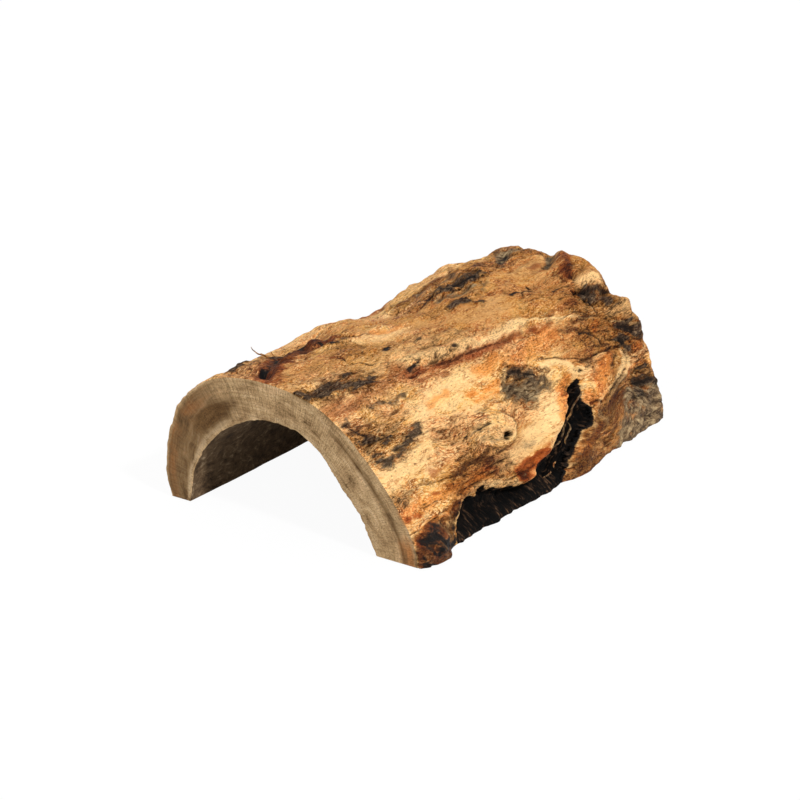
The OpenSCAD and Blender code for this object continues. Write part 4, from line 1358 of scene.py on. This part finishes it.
def add_toe():
    rows, cols = along[:TOE_CELLS], around[:TOE_CELLS]
    swelling = felt_radius(feeler("log_wall", "toe_knot"), rows, cols, True)
    swelling -= felt_radius(feeler("log_wall"), rows, cols, True)
    rise = TOE_RISE * smooth(1.0, 0.2, ellipse(TOE_LOBE))
    rise[:TOE_CELLS, :TOE_CELLS] += np.maximum(blurred(swelling, 2.2, 2.4), 0)
    thickness = np.maximum(rise - TOE_EDGE, 0) * (1 + 0.5 * lumpy(6, 5, 64, 3))
    dark = smooth(0.1, 0.9, rise)
    soot = 0.9 * dark * smooth(0.0, 0.4, lumpy(6, 5, 67, 4))
    rust = np.maximum(wood_stains["red"], dark * (0.8 + 0.6 * lumpy(7, 6, 68, 3)))
    brown = np.maximum(wood_stains["brown"], 0.75 * dark)
    cleared = {kind: wood_stains[kind] * (1 - dark) for kind in ("cream", "grey")}
    mesh = lens_mesh("toe", thickness, overlaid("black", soot, red=rust, brown=brown, **cleared))
    show("toe_lump", mesh, "toe_knot", "dark_knot", dark_knot)


add_log()
add_bark()
add_seam()
add_plates()
add_splinters()
add_side_knot()
add_toe()


# Floor, light and camera, in metres and degrees

WHITE = (1, 1, 1, 1)
FLOOR_REACH = 6.0
FLOOR_DROP = 0.0005
FLOOR_COLOUR = (0.85, 0.85, 0.85, 1)
FLOOR_ROUGHNESS = 0.9
FLOOR_WHITE = 0.95       # share of plain white in the floor; the rest shows the shadow
SKY_LIGHT = 0.28
SUNS = [                 # name, direction that it shines from, softness, power
    ("key", (0.85, -0.2, 0.85), 6, 2.9),
    ("front", (0.3, -1.0, 0.6), 40, 0.86),
    ("top", (-0.2, 0.1, 1.0), 50, 0.85),
]
CAMERA_PLACE = (0.58705, -0.8621, 0.4282)
CAMERA_TILT, CAMERA_TURN = 69, 35
FOCAL_LENGTH, SENSOR_WIDTH = 108, 36


def looked_at(tree):
    """One for the rays that show the background: straight from the camera, mirrored, or through glass."""
    path = add(tree, "LightPath", {}).outputs
    direct = calculated(tree, "MAXIMUM", path["Is Camera Ray"], path["Is Glossy Ray"])
    return calculated(tree, "MAXIMUM", direct, path["Is Transmission Ray"])


def mix_into(tree, output, share, first, second):
    mixed = add(tree, "MixShader", {0: share, 1: first.outputs[0], 2: second.outputs[0]})
    tree.links.new(mixed.outputs[0], tree.nodes[output].inputs["Surface"])


def add_floor():
    mesh = bpy.data.meshes.new("floor")
    corners = [(x * FLOOR_REACH, y * FLOOR_REACH, 0) for x, y in ((-1, -1), (1, -1), (1, 1), (-1, 1))]
    mesh.from_pydata(corners, [], [(0, 1, 2, 3)])
    floor = linked("floor", mesh)
    floor.location.z = -FLOOR_DROP
    material, tree = new_material("white_floor")
    matt = tree.nodes["Principled BSDF"]
    matt.inputs["Base Color"].default_value = FLOOR_COLOUR
    matt.inputs["Roughness"].default_value = FLOOR_ROUGHNESS
    glow = add(tree, "Emission", {"Color": WHITE, "Strength": 1.0})
    mix_into(tree, "Material Output", calculated(tree, "MULTIPLY", looked_at(tree), FLOOR_WHITE), matt, glow)
    mesh.materials.append(material)


def add_world():
    world = bpy.data.worlds.new("studio")
    bpy.context.scene.world = world
    world.use_nodes = True
    tree = world.node_tree
    soft = tree.nodes["Background"]
    soft.inputs["Color"].default_value = WHITE
    soft.inputs["Strength"].default_value = SKY_LIGHT
    backdrop = add(tree, "Background", {"Color": WHITE, "Strength": 1.0})
    mix_into(tree, "World Output", looked_at(tree), soft, backdrop)


def add_sun(name, direction, softness, power):
    lamp = bpy.data.lights.new(name, "SUN")
    lamp.angle = math.radians(softness)
    lamp.energy = power
    holder = linked(name, lamp)
    holder.location = direction
    holder.rotation_euler = (-Vector(direction)).to_track_quat("-Z", "Y").to_euler()


def add_camera():
    lens = bpy.data.cameras.new("photo_camera")
    lens.lens = FOCAL_LENGTH
    lens.sensor_width = SENSOR_WIDTH
    holder = linked("photo_camera", lens)
    holder.location = CAMERA_PLACE
    holder.rotation_euler = (math.radians(CAMERA_TILT), 0, math.radians(CAMERA_TURN))
    bpy.context.scene.camera = holder


add_floor()
add_world()
for sun in SUNS:
    add_sun(*sun)
add_camera()
bpy.context.scene.view_settings.view_transform = "Standard"
